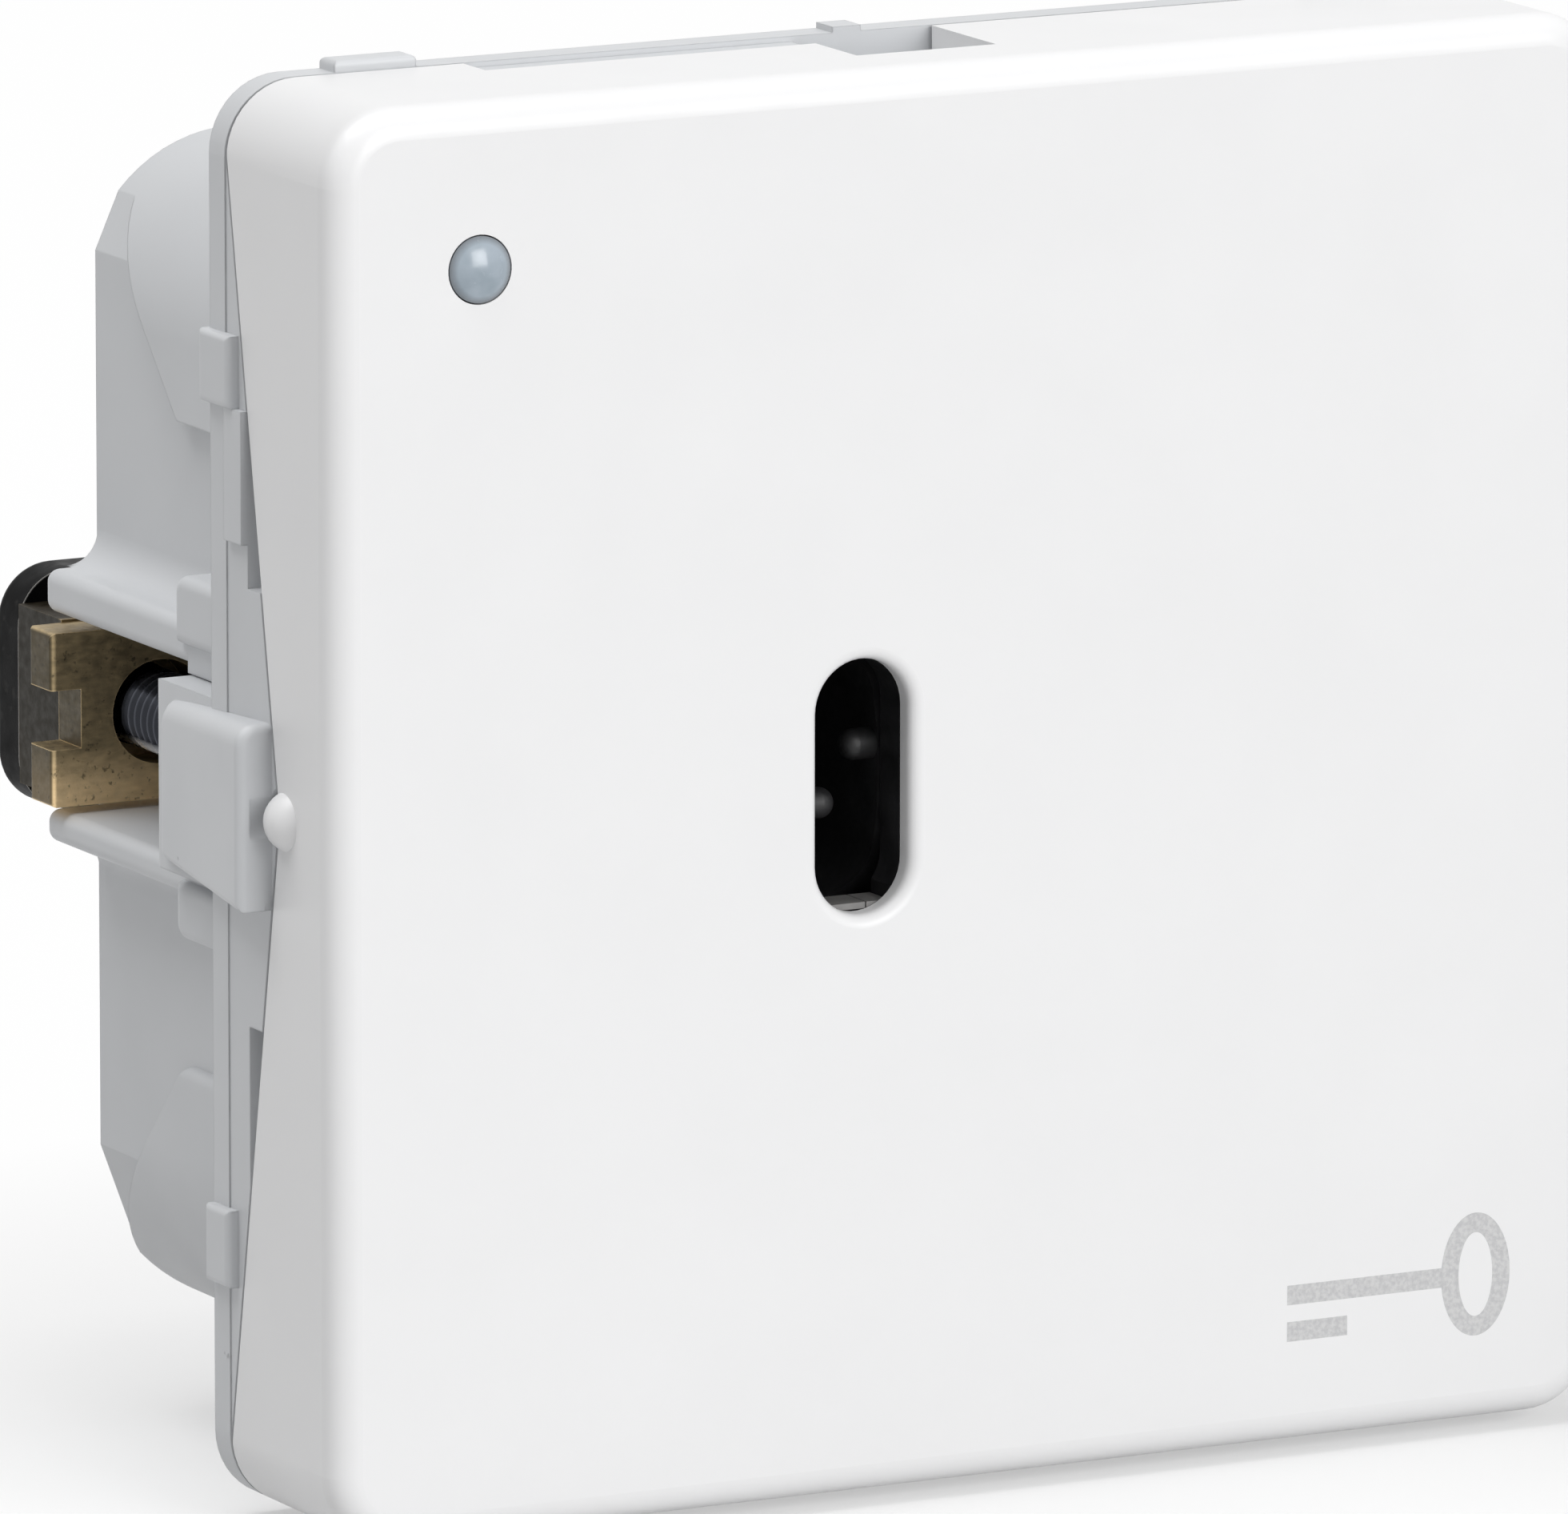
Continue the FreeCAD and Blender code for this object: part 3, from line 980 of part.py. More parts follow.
def claw_nut():
    """Right claw's brass nut: notched front block and taller rear block."""
    inside = CHANNEL_FLOOR + FREE_GAP
    front = box((inside, NUT_OUT), (NUT_FRONT_Y, NUT_STEP_Y), (-NUT_HALF_H, NUT_HALF_H))
    front = front.makeFillet(NUT_EDGE_R, edges_in_plane(front, "X", NUT_OUT))
    rear = box((inside, NUT_REAR_OUT), (NUT_STEP_Y, NUT_END_Y), (-NUT_REAR_HALF_H, NUT_REAR_HALF_H))
    nut = joined(front, rear)
    nut = nut.cut(box((NUT_OUT - NUT_NOTCH, NUT_OUT + OVERCUT),
                      (NUT_FRONT_Y - OVERCUT, NUT_STEP_Y + OVERCUT), (-NUT_NOTCH_HALF, NUT_NOTCH_HALF)))
    nut = nut.cut(rod_y(NUT_SCREW_R, (NUT_FRONT_Y - OVERCUT, NUT_STEP_Y), SCREW_X))
    return nut.cut(rod_y(THREAD_R + PART_GAP, (NUT_FRONT_Y, NUT_END_Y + OVERCUT), SCREW_X))


def claw_plate():
    """Right claw's black end plate behind the nut."""
    end = CLAW_Y + CLAW_T
    plate = rounded_slab(CLAW_W / 2, CLAW_HALF_H, CLAW_R, (CLAW_Y, end), CLAW_OUT - CLAW_W / 2)
    plate = plate.makeFillet(CLAW_EDGE_R, edges_in_plane(plate, "Y", end))
    return plate.cut(rod_y(SCREW_HOLE_R, (CLAW_Y - OVERCUT, end + OVERCUT), SCREW_X))


def build():
    """Every node of the switch by name, each a list of separate solids."""
    nodes = {
        "cover_plate": [cover_plate()],
        "symbol_inlay": symbol_inlay(),
        "key_guide": [key_guide()],
        "slot_sill": slot_sill(),
        "indicator_lens": [indicator_lens()],
        "base_frame": [base_frame()],
        "rear_housing": [rear_housing()],
        "insulator_plate": [insulator_plate()],
        "key_rocker": [key_rocker()],
        "code_pins": code_pins(),
        "rocker_axle": [rocker_axle()],
        "plunger": [plunger()],
        "plunger_spring": [plunger_spring()],
        "contact_lever": [contact_lever()],
        "lever_tips": lever_tips(),
        "fixed_tips": fixed_tips(),
        "terminal_up": [terminal_up()],
        "terminal_down": [terminal_down()],
        "terminal_common": [terminal_common()],
        "terminal_loop": [terminal_loop()],
        "clamp_springs": clamp_springs(),
        "led_board": [led_board()],
        "board_pins": board_pins(),
        "led_chip": [led_chip()],
        "series_resistor": [series_resistor()],
        "series_diode": [series_diode()],
    }
    names = ("up", "down", "common", "loop")
    for name, (x, z) in zip(names, button_places()):
        nodes["release_button_" + name] = [release_button(x, z)]
    for name, shape in (("claw_screw", claw_screw()), ("claw_nut", claw_nut()), ("claw_plate", claw_plate())):
        nodes[name + "_right"] = [shape]
        nodes[name + "_left"] = [mirrored_x(shape)]
    return nodes


def main():
    """Write one STEP file for each node."""
    os.makedirs("parts", exist_ok=True)
    for name, solids in build().items():
        shape = solids[0] if len(solids) == 1 else Part.makeCompound(solids)
        shape.exportStep("parts/" + name + ".step")


main()
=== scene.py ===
"""Looks of the flush-mounted key switch: finishes, light, floor and the photograph's camera."""

import json
import math

import bpy
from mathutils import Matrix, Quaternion, Vector


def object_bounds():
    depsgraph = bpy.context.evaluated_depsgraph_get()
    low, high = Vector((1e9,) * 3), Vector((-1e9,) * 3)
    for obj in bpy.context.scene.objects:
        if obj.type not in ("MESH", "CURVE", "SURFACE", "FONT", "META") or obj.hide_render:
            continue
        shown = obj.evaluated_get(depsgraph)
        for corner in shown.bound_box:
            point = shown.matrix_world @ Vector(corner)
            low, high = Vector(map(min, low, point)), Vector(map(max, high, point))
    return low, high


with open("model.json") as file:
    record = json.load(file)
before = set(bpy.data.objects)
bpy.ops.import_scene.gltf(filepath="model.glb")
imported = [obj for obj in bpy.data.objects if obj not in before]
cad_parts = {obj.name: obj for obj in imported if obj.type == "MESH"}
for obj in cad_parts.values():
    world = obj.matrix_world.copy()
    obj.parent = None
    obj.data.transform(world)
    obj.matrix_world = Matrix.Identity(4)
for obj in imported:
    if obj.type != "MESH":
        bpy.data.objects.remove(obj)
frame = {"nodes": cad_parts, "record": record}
cad_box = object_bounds()

MM = 0.001

# Camera, solved from the corners of the square cover in the 1960 x 1892 frame
CAMERA_POINT = Vector((-317.964, -599.996, 131.570)) * MM
CAMERA_YAW = 27.717        # degrees towards +X
CAMERA_PITCH = 11.041      # degrees down
CAMERA_ROLL = 0.041
SENSOR = 36.0
FOCAL_PX = 24896
FRAME_WIDTH_PX = 1960
CLIP = (0.01, 50.0)

# Light and floor
FLOOR_DROP = 0.1 * MM      # floor below the object's lowest point
FLOOR_SIZE = 20.0
FLOOR_GLOW = (0.45, 0.97)  # share of the floor that shadows don't darken, near the object and far
FLOOR_NEAR = (30.0, 58.0)  # millimetres from the origin between which that share grows
AMBIENT = 0.24
FRONT_LAMP = (0.35, -1.3, 0.45)
TOP_LAMP = (-0.32, 0.08, 1.12)
LEDGE_LAMP = (-0.30, 0.05, 0.28)
LEDGE_AIM = (-0.022, 0.006, 0.0)
LAMP_SIZE = (0.8, 0.22)    # the two main lamps, and the ledge lamp
KEY_POWER = 12.8
TOP_POWER = 8.4
LEDGE_POWER = 0.12

# White plastics, in millimetres; each mark has a centre, a radius and a strength
FRAME_MARKS = (((-25.28, 1.72, -2.48), 0.09, 0.40), ((-25.32, 1.45, -2.75), 0.08, 0.35),
               ((-24.8, -1.05, -19.45), 0.16, 0.50), ((-24.8, -0.75, -19.4), 0.10, 0.35))
MARK_COLOUR = (0.12, 0.12, 0.13)
DRIFT = 0.985              # darkest share of a white plastic's own colour
DRIFT_SIZE = 9.0           # size of its darker patches
SMUDGE_SIZE = 4.0          # size of its duller patches
PLASTIC_GRAIN = (0.25, 0.0012)  # size and depth of its fine grain
PLASTIC_WAVES = (6.0, 0.002)    # size and depth of its slow waves
MARK_FADE = (0.7, 1.5)     # a mark fades between these shares of its radius
MARK_CLOUD = 0.2           # size of the cloud that makes a mark ragged
SOFT_EDGE = 0.12           # radius of the softened edges of frame and housing
FRAME_WHITE = (0.632, 0.645, 0.662)

# Wear, painted edge highlights and grain of the other finishes
BRASS_WEAR_AND_GLINT = 0.07          # reach of the nuts' worn edges with their painted glints, in millimetres
COATING_HIGHLIGHT_REACH = 0.1         # reach of the plates' painted edge highlights
METAL_GRAIN = 0.004        # depth of the grain on the plain metals
EDGE_SAMPLES = 6           # rays that look for an edge, for wear and painted edge highlights
SOFT_SAMPLES = 4           # rays that soften an edge
BLACK_EDGE_HIGHLIGHT = (0.62, 0.60, 0.57)
BRASS_RUBBED_AND_GLINT = (0.80, 0.62, 0.36)
# Agreement of true and softened directions: a full edge below the first, none above the second
EDGE_ALIKE = (0.80, 0.985)

# Masks for a distance: from an axis along Y, and from one along Z
FROM_Y_AXIS = (1.0, 0.0, 1.0)
FROM_Z_AXIS = (1.0, 1.0, 0.0)

# Lens, nut and screw; places and distances in millimetres
LENS_CENTRE = (-19.2, 0.0, 19.14)
LENS_RIM_SHADE = (0.90, 1.12)    # painted shade: the lens darkens between these distances from its axis
LENS_TOP_LIGHT = (-0.3, 1.0)    # and a painted lighter top grows between these heights from its centre
NUT_LIGHTER_Z = (-1.0, -2.4)  # the brass is lighter below these heights
NUT_REAR_Y = (16.1, 16.5)  # and darker behind these depths
NUT_FLANK_SHADE = (0.6, 0.9)     # painted shade: the nut's sides darken where they face this far towards X
THREAD_LINES = 0.5         # spacing of the painted light and dark thread lines on the screws
CREST = (-0.2, 0.9)        # part of each line's wave that goes from dark to light
GLINT_Z = (-1.15, -0.75)   # the screws' lower sides shine below these heights
GLINT_FADE = 0.25


class Nodes:
    """The nodes of one tree, with short ways to add and join them."""

    def __init__(self, tree):
        self.tree = tree

    def add(self, kind, **values):
        """A new node, with its properties and input sockets set by name."""
        node = self.tree.nodes.new("ShaderNode" + kind)
        for name, value in values.items():
            if hasattr(node, name):
                setattr(node, name, value)
            else:
                node.inputs[name.replace("_", " ")].default_value = value
        return node

    def link(self, source, target):
        """Connect two sockets."""
        self.tree.links.new(source, target)

    def place(self):
        """Coordinates fixed to the object, in millimetres."""
        coordinates = self.add("TexCoord")
        scale = self.add("VectorMath", operation="SCALE")
        scale.inputs["Scale"].default_value = 1 / MM
        self.link(coordinates.outputs["Object"], scale.inputs[0])
        return scale.outputs[0]

    def noise(self, size, detail=2.0, stretch=None):
        """Cloudy pattern whose patches are about size millimetres across."""
        texture = self.add("TexNoise", Scale=1 / size, Detail=detail)
        where = self.place()
        if stretch:
            scale = self.add("VectorMath", operation="MULTIPLY")
            scale.inputs[1].default_value = stretch
            self.link(where, scale.inputs[0])
            where = scale.outputs[0]
        self.link(where, texture.inputs["Vector"])
        return texture.outputs["Fac"]

    def span(self, source, low, high, start=0.3, end=0.7):
        """The part of a pattern between start and end, spread from low to high."""
        spread = self.add("MapRange", From_Min=start, From_Max=end, To_Min=low, To_Max=high)
        self.link(source, spread.inputs["Value"])
        return spread.outputs["Result"]

    def mix(self, factor, first, second):
        """Colour between two colours or sockets."""
        node = self.add("Mix", data_type="RGBA")
        self.link(factor, node.inputs["Factor"])
        for socket, value in ((node.inputs["A"], first), (node.inputs["B"], second)):
            self.fill(socket, value)
        return node.outputs["Result"]

    def blend(self, factor, first, second):
        """Shader between two shaders."""
        node = self.add("MixShader")
        for socket, source in zip(node.inputs, (factor, first, second)):
            self.link(source, socket)
        return node.outputs[0]

    def fill(self, socket, value):
        """Give a socket a colour, or connect it."""
        if isinstance(value, bpy.types.NodeSocket):
            self.link(value, socket)
        else:
            socket.default_value = (*value, 1.0)

    def shape(self, operation, *values):
        """Arithmetic on sockets and numbers."""
        node = self.add("Math", operation=operation)
        for socket, value in zip(node.inputs, values):
            if isinstance(value, bpy.types.NodeSocket):
                self.link(value, socket)
            else:
                socket.default_value = value
        return node.outputs[0]

    def axis(self, name):
        """One coordinate of the object's own place, in millimetres."""
        split = self.add("SeparateXYZ")
        self.link(self.place(), split.inputs[0])
        return split.outputs[name]

    def facing(self, name):
        """One part of the surface's direction, between -1 and 1."""
        geometry = self.add("NewGeometry")
        split = self.add("SeparateXYZ")
        self.link(geometry.outputs["Normal"], split.inputs[0])
        return split.outputs[name]

    def distance(self, point, mask=(1.0, 1.0, 1.0)):
        """Distance from a point in millimetres, leaving out the axes whose mask is nought."""
        offset = self.add("VectorMath", operation="SUBTRACT")
        offset.inputs[1].default_value = point
        self.link(self.place(), offset.inputs[0])
        kept = self.add("VectorMath", operation="MULTIPLY")
        kept.inputs[1].default_value = mask
        self.link(offset.outputs[0], kept.inputs[0])
        length = self.add("VectorMath", operation="LENGTH")
        self.link(kept.outputs[0], length.inputs[0])
        return length.outputs["Value"]

    def edges(self, radius):
        """One near sharp outer and inner edges, and nought on flat faces."""
        bevel = self.add("Bevel", samples=EDGE_SAMPLES)
        bevel.inputs["Radius"].default_value = radius * MM
        geometry = self.add("NewGeometry")
        alike = self.add("VectorMath", operation="DOT_PRODUCT")
        self.link(bevel.outputs["Normal"], alike.inputs[0])
        self.link(geometry.outputs["Normal"], alike.inputs[1])
        return self.span(alike.outputs["Value"], 1.0, 0.0, *EDGE_ALIKE)

    def seen(self):
        """One for what the camera sees directly, in a reflection or through glass, else nought."""
        ray = self.add("LightPath")
        direct = self.shape("MAXIMUM", ray.outputs["Is Camera Ray"], ray.outputs["Is Glossy Ray"])
        return self.shape("MAXIMUM", direct, ray.outputs["Is Transmission Ray"])


class Finish(Nodes):
    """A material under construction: a Principled shader and the textures that feed it."""

    def __init__(self, name, colour, roughness, **settings):
        self.material = bpy.data.materials.new(name)
        self.material.use_nodes = True
        super().__init__(self.material.node_tree)
        self.shader = self.tree.nodes["Principled BSDF"]
        self.set("Base Color", (*colour, 1.0))
        self.set("Roughness", roughness)
        for socket, value in settings.items():
            self.set(socket.replace("_", " "), value)

    def set(self, socket, value):
        """Give one of the shader's sockets a fixed value."""
        self.shader.inputs[socket].default_value = value

    def grain(self, *layers, soft=0.0):
        """Bumps from (pattern, depth in millimetres) layers, over edges softened by a radius."""
        normal = None
        if soft:
            bevel = self.add("Bevel", samples=SOFT_SAMPLES)
            bevel.inputs["Radius"].default_value = soft * MM
            normal = bevel.outputs["Normal"]
        for pattern, depth in layers:
            bump = self.add("Bump", Strength=1.0, Distance=depth * MM)
            self.link(pattern, bump.inputs["Height"])
            if normal:
                self.link(normal, bump.inputs["Normal"])
            normal = bump.outputs["Normal"]
        self.link(normal, self.shader.inputs["Normal"])

    def colour(self, socket):
        """Feed the base colour."""
        self.link(socket, self.shader.inputs["Base Color"])

    def rough(self, socket):
        """Feed the roughness."""
        self.link(socket, self.shader.inputs["Roughness"])


def moulded_white(name, colour, roughness, soft=0.0, marks=()):
    """White moulded plastic: colour drift, smudged gloss, fine grain, soft edges and marks."""
    finish = Finish(name, colour, roughness, IOR=1.48)
    darker = tuple(c * DRIFT for c in colour)
    tint = finish.mix(finish.span(finish.noise(DRIFT_SIZE), 0.0, 1.0), colour, darker)
    for point, radius, strength in marks:
        uneven = finish.span(finish.noise(MARK_CLOUD), 0.0, radius)
        ragged = finish.shape("ADD", finish.distance(point), uneven)
        mark = finish.span(ragged, strength, 0.0, *(radius * share for share in MARK_FADE))
        tint = finish.mix(mark, tint, MARK_COLOUR)
    finish.colour(tint)
    finish.rough(finish.span(finish.noise(SMUDGE_SIZE, 4.0), roughness - 0.05, roughness + 0.07))
    grain = finish.noise(PLASTIC_GRAIN[0], 3.0)
    waves = finish.noise(PLASTIC_WAVES[0])
    finish.grain((grain, PLASTIC_GRAIN[1]), (waves, PLASTIC_WAVES[1]), soft=soft)
    return finish.material


def black_plastic():
    """Matt black plastic of the rocker and the slot's lining."""
    finish = Finish("black_plastic", (0.012, 0.012, 0.013), 0.45, IOR=1.46)
    finish.colour(finish.mix(finish.span(finish.noise(1.5, 4.0), 0.0, 1.0),
                             (0.010, 0.010, 0.011), (0.024, 0.024, 0.026)))
    finish.rough(finish.span(finish.noise(0.8, 3.0), 0.38, 0.58))
    finish.grain((finish.noise(0.15, 2.0), 0.003))
    return finish.material


def printed_grey():
    """Grey print of the key symbol, with a faint speckle."""
    finish = Finish("printed_grey", (0.55, 0.55, 0.55), 0.6)
    speckle = finish.noise(0.16, 3.0)
    finish.colour(finish.mix(finish.span(speckle, 0.0, 1.0, 0.38, 0.62),
                             (0.52, 0.52, 0.53), (0.63, 0.63, 0.63)))
    finish.rough(finish.span(speckle, 0.45, 0.7))
    finish.grain((speckle, 0.02))
    return finish.material


def smoky_lens():
    """Bluish light guide with a polished dome, a painted lighter top and painted shade round its rim."""
    finish = Finish("smoky_lens", (0.26, 0.32, 0.38), 0.2, IOR=1.49, Coat_Weight=0.3, Coat_Roughness=0.16)
    cloud = finish.noise(0.8, 2.0)
    tint = finish.mix(finish.span(cloud, 0.0, 1.0), (0.27, 0.33, 0.38), (0.36, 0.42, 0.48))
    # painted highlight: the lens grows lighter towards its top
    painted_top_light = finish.span(finish.axis("Z"), 0.0, 0.5, *(LENS_CENTRE[2] + rise for rise in LENS_TOP_LIGHT))
    tint = finish.mix(painted_top_light, tint, (0.42, 0.48, 0.54))
    # painted shade round the lens's rim
    rim_shade = finish.span(finish.distance(LENS_CENTRE, FROM_Y_AXIS), 0.0, 0.75, *LENS_RIM_SHADE)
    finish.colour(finish.mix(rim_shade, tint, (0.15, 0.16, 0.175)))
    finish.rough(finish.span(finish.noise(0.3), 0.18, 0.28))
    finish.grain((cloud, 0.01))
    return finish.material


def metal(name, dark, light, roughness, size, stretch=None):
    """Metal with cloudy tarnish and uneven gloss."""
    finish = Finish(name, light, roughness, Metallic=1.0)
    cloud = finish.noise(size, 5.0, stretch)
    finish.colour(finish.mix(finish.span(cloud, 0.0, 1.0, 0.35, 0.68), dark, light))
    finish.rough(finish.span(finish.noise(size / 3, 3.0, stretch), roughness - 0.08, roughness + 0.14))
    finish.grain((finish.noise(size / 6, 3.0, stretch), METAL_GRAIN))
    return finish.material


def aged_brass():
    """Dark brass of the nuts: fine streaks, oily spots, a lighter lower end, painted shade on the sides,
    a darker rear and worn edges with painted glints.
    """
    finish = Finish("aged_brass", (0.2, 0.15, 0.08), 0.45, Metallic=1.0)
    streaks = finish.span(finish.noise(0.5, 4.0, (1.0, 1.0, 3.0)), 0.0, 1.0)
    dark = finish.mix(streaks, (0.28, 0.22, 0.128), (0.42, 0.325, 0.185))
    # lighter brass towards the bottom of the nut
    lower_brass = finish.mix(streaks, (0.80, 0.60, 0.34), (0.92, 0.70, 0.41))
    height = finish.span(finish.axis("Z"), 0.0, 1.0, *NUT_LIGHTER_Z)
    shade = finish.mix(height, dark, lower_brass)
    # painted shade on the nut's sides, by the way they face
    flank_shade = finish.span(finish.shape("ABSOLUTE", finish.facing("X")), 0.0, 0.85, *NUT_FLANK_SHADE)
    shade = finish.mix(flank_shade, shade, (0.030, 0.027, 0.019))
    spots = finish.span(finish.noise(0.22, 3.0), 0.0, 0.6, 0.62, 0.72)
    shade = finish.mix(spots, shade, (0.03, 0.026, 0.02))
    # worn edges, lightened further as painted glints
    shade = finish.mix(finish.edges(BRASS_WEAR_AND_GLINT), shade, BRASS_RUBBED_AND_GLINT)
    rear = finish.span(finish.axis("Y"), 0.0, 0.93, *NUT_REAR_Y)
    finish.colour(finish.mix(rear, shade, (0.018, 0.016, 0.012)))
    finish.rough(finish.span(finish.noise(0.4, 3.0), 0.40, 0.58))
    finish.grain((finish.noise(0.15, 3.0), 0.004))
    return finish.material


def threaded_zinc():
    """Dark zinc of the screws: painted light and shade of fine thread lines, and a bright glint along the
    lower side.
    """
    finish = Finish("zinc_steel", (0.06, 0.06, 0.07), 0.3, Metallic=1.0)
    turns = finish.shape("SINE", finish.shape("MULTIPLY", finish.axis("Y"), 2 * math.pi / THREAD_LINES))
    # painted light and shade of the thread, line by line
    crest_light = finish.span(turns, 0.0, 1.0, *CREST)
    shade = finish.mix(crest_light, (0.032, 0.034, 0.040), (0.105, 0.110, 0.128))
    low = finish.span(finish.axis("Z"), 1.0, 0.0, *GLINT_Z)
    base = finish.span(finish.axis("Z"), 0.0, 1.0, GLINT_Z[0] - GLINT_FADE, GLINT_Z[0])
    glint = finish.shape("MULTIPLY", low, base)
    finish.colour(finish.mix(glint, shade, (0.92, 0.94, 0.97)))
    finish.rough(finish.span(finish.noise(0.4, 2.0), 0.22, 0.36))
    finish.grain((finish.noise(0.3, 2.0), 0.0008))
    return finish.material


def black_coating():
    """Black-coated steel with faint scuffs and a painted highlight on its edges."""
    finish = Finish("black_coating", (0.012, 0.012, 0.013), 0.38, IOR=1.5, Specular_IOR_Level=0.03)
    scuffs = finish.span(finish.noise(0.5, 5.0), 0.0, 1.0, 0.58, 0.8)
    shade = finish.mix(scuffs, (0.005, 0.005, 0.0052), (0.024, 0.023, 0.022))
    # painted highlight along the plate's edges
    finish.colour(finish.mix(finish.edges(COATING_HIGHLIGHT_REACH), shade, BLACK_EDGE_HIGHLIGHT))
    finish.rough(finish.span(finish.noise(0.9, 4.0), 0.30, 0.5))
    finish.grain((finish.noise(0.12, 3.0), 0.003))
    return finish.material


def plain_board(name, colour, light, roughness):
    """Board, chip or button: a mottled solid colour with a fine grain."""
    finish = Finish(name, colour, roughness)
    cloud = finish.noise(1.4, 4.0)
    finish.colour(finish.mix(finish.span(cloud, 0.0, 1.0), colour, light))
    finish.rough(finish.span(finish.noise(0.6, 2.0), roughness - 0.06, roughness + 0.1))
    finish.grain((finish.noise(0.14, 2.0), 0.003))
    return finish.material


def finishes():
    """Material of every slot in the record."""
    return {
        "white_gloss": moulded_white("cover_white", (0.86, 0.86, 0.865), 0.34),
        "white_frame": moulded_white("frame_white", FRAME_WHITE, 0.42, SOFT_EDGE, FRAME_MARKS),
        "white_housing": moulded_white("housing_white", FRAME_WHITE, 0.46, SOFT_EDGE),
        "symbol_grey": printed_grey(),
        "black_matte": black_plastic(),
        "clear_lens": smoky_lens(),
        "black_plate": black_coating(),
        "brass_nut": aged_brass(),
        "zinc_screw": threaded_zinc(),
        # dark steel pins, darkened further as painted shade of the slot's inside
        "dark_pin": plain_board("dark_pin", (0.010, 0.010, 0.0105), (0.018, 0.018, 0.019), 0.5),
        "dull_sill": plain_board("dull_sill", (0.15, 0.147, 0.144), (0.26, 0.254, 0.248), 0.45),
        "steel_bright": metal("bright_steel", (0.52, 0.52, 0.53), (0.70, 0.70, 0.71), 0.25,
                              size=0.5, stretch=(0.15, 1.0, 1.0)),
        "spring_steel": metal("spring_steel", (0.36, 0.36, 0.38), (0.56, 0.56, 0.58), 0.32, size=0.7),
        "brass_strip": metal("brass_strip", (0.52, 0.38, 0.16), (0.78, 0.60, 0.30), 0.30, size=2.2),
        "silver_tip": metal("silver_tip", (0.62, 0.60, 0.56), (0.86, 0.85, 0.82), 0.30, size=0.5),
        "pale_board": plain_board("pale_board", (0.55, 0.52, 0.45), (0.66, 0.63, 0.56), 0.6),
        "board_green": plain_board("board_green", (0.03, 0.16, 0.08), (0.06, 0.24, 0.12), 0.35),
        "led_white": plain_board("led_white", (0.80, 0.76, 0.60), (0.88, 0.85, 0.72), 0.3),
        "chip_black": plain_board("chip_black", (0.02, 0.02, 0.022), (0.04, 0.04, 0.045), 0.45),
        "button_grey": plain_board("button_grey", (0.34, 0.35, 0.37), (0.40, 0.41, 0.43), 0.45),
    }


def dress_nodes():
    """Give every CAD node the finish of its slot."""
    by_slot = finishes()
    for part in frame["record"]["subparts"]:
        node = frame["nodes"][part["node"]]
        for place in node.material_slots:
            place.material = by_slot[part["material_slot"]]


def floor():
    """Pale floor just below the object; it stays near white to the camera but keeps the shadow."""
    lowest = cad_box[0].z - FLOOR_DROP
    half = FLOOR_SIZE / 2
    mesh = bpy.data.meshes.new("floor")
    corners = [(-half, -half, lowest), (half, -half, lowest), (half, half, lowest), (-half, half, lowest)]
    mesh.from_pydata(corners, [], [(0, 1, 2, 3)])
    plane = bpy.data.objects.new("floor", mesh)
    bpy.context.scene.collection.objects.link(plane)

    finish = Finish("floor_white", (0.56, 0.56, 0.56), 0.9)
    cloud = finish.noise(90.0)
    finish.colour(finish.mix(cloud, (0.54, 0.54, 0.54), (0.58, 0.58, 0.58)))
    pale = finish.add("BsdfDiffuse")
    finish.fill(pale.inputs["Color"], (0.96, 0.96, 0.96))
    glow = finish.add("Emission", Strength=1.0)
    near = finish.span(finish.distance((0.0, 0.0, 0.0), FROM_Z_AXIS), *FLOOR_GLOW, *FLOOR_NEAR)
    white = finish.blend(near, pale.outputs[0], glow.outputs[0])
    surface = finish.blend(finish.seen(), finish.shader.outputs[0], white)
    finish.link(surface, finish.tree.nodes["Material Output"].inputs["Surface"])
    mesh.materials.append(finish.material)


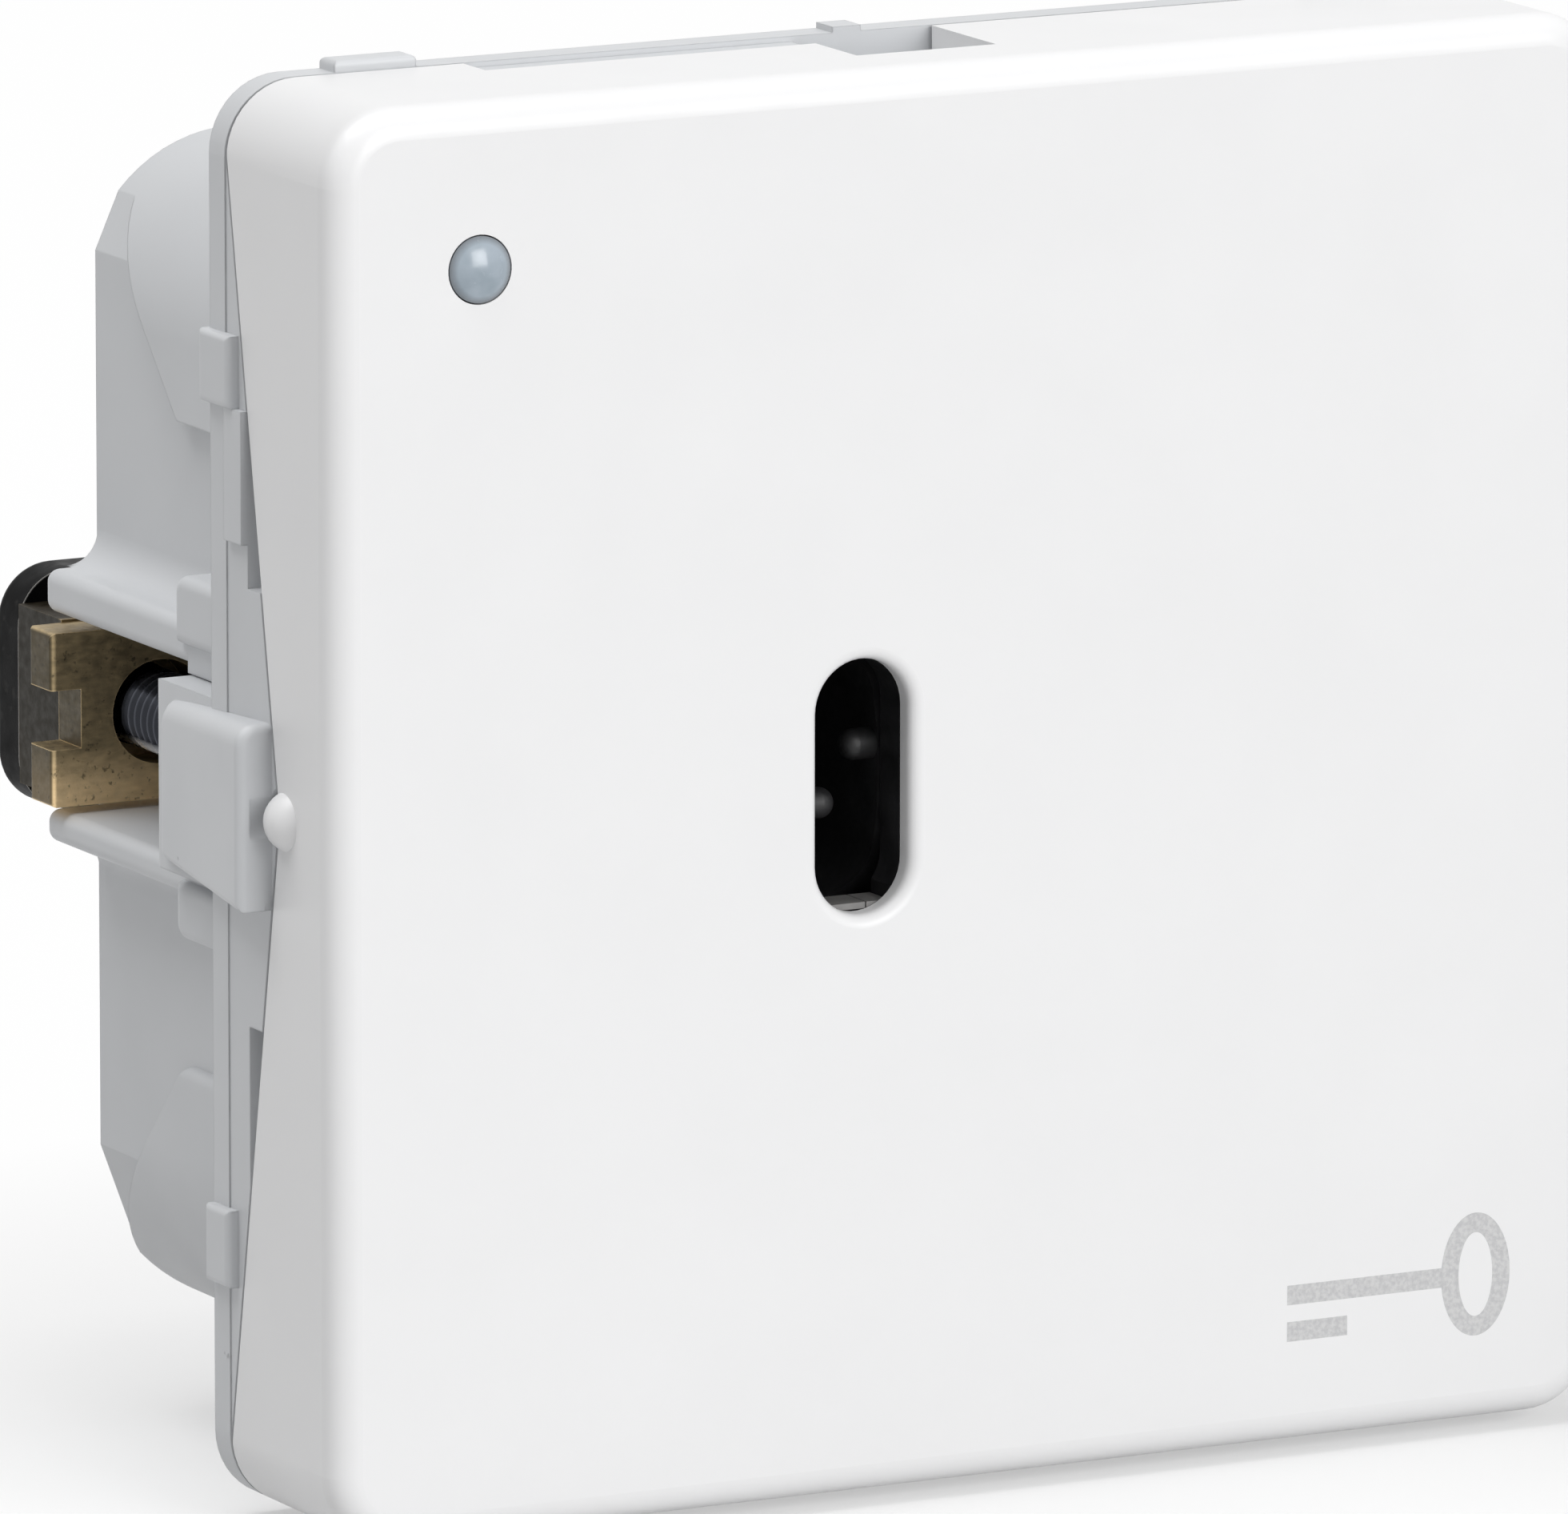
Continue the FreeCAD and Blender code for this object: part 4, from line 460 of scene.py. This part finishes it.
def surroundings():
    """World: white to the camera, to reflections and through glass, and softer as light."""
    world = bpy.data.worlds.new("studio")
    world.use_nodes = True
    bpy.context.scene.world = world
    nodes = Nodes(world.node_tree)
    background = nodes.tree.nodes["Background"]
    nodes.fill(background.inputs["Color"], (1.0, 1.0, 1.0))
    nodes.link(nodes.span(nodes.seen(), AMBIENT, 1.0, 0.0, 1.0), background.inputs["Strength"])


def softbox(name, point, target, size, power):
    """Square soft lamp at a point, aimed at another."""
    lamp = bpy.data.lights.new(name, "AREA")
    lamp.shape = "SQUARE"
    lamp.size = size
    lamp.energy = power
    holder = bpy.data.objects.new(name, lamp)
    holder.location = point
    aim = Vector(target) - Vector(point)
    holder.rotation_mode = "QUATERNION"
    holder.rotation_quaternion = aim.to_track_quat("-Z", "Y")
    bpy.context.scene.collection.objects.link(holder)


def lamps():
    """Soft light from the front and from above, and a little on the ledges at the left."""
    centre = (0, 0, 0)
    softbox("front_lamp", FRONT_LAMP, centre, LAMP_SIZE[0], KEY_POWER)
    softbox("top_lamp", TOP_LAMP, centre, LAMP_SIZE[0], TOP_POWER)
    softbox("ledge_lamp", LEDGE_LAMP, LEDGE_AIM, LAMP_SIZE[1], LEDGE_POWER)


def camera():
    """The photograph's camera."""
    lens = bpy.data.cameras.new("camera")
    lens.sensor_fit = "HORIZONTAL"
    lens.sensor_width = SENSOR
    lens.lens = SENSOR * FOCAL_PX / FRAME_WIDTH_PX
    lens.clip_start, lens.clip_end = CLIP
    holder = bpy.data.objects.new("camera", lens)
    yaw, pitch, roll = (math.radians(a) for a in (CAMERA_YAW, CAMERA_PITCH, CAMERA_ROLL))
    ahead = Vector((math.sin(yaw) * math.cos(pitch), math.cos(yaw) * math.cos(pitch), -math.sin(pitch)))
    holder.rotation_mode = "QUATERNION"
    holder.rotation_quaternion = ahead.to_track_quat("-Z", "Y") @ Quaternion((0, 0, 1), roll)
    holder.location = CAMERA_POINT
    bpy.context.scene.collection.objects.link(holder)
    bpy.context.scene.camera = holder


dress_nodes()
floor()
surroundings()
lamps()
camera()
bpy.context.scene.view_settings.view_transform = "Standard"
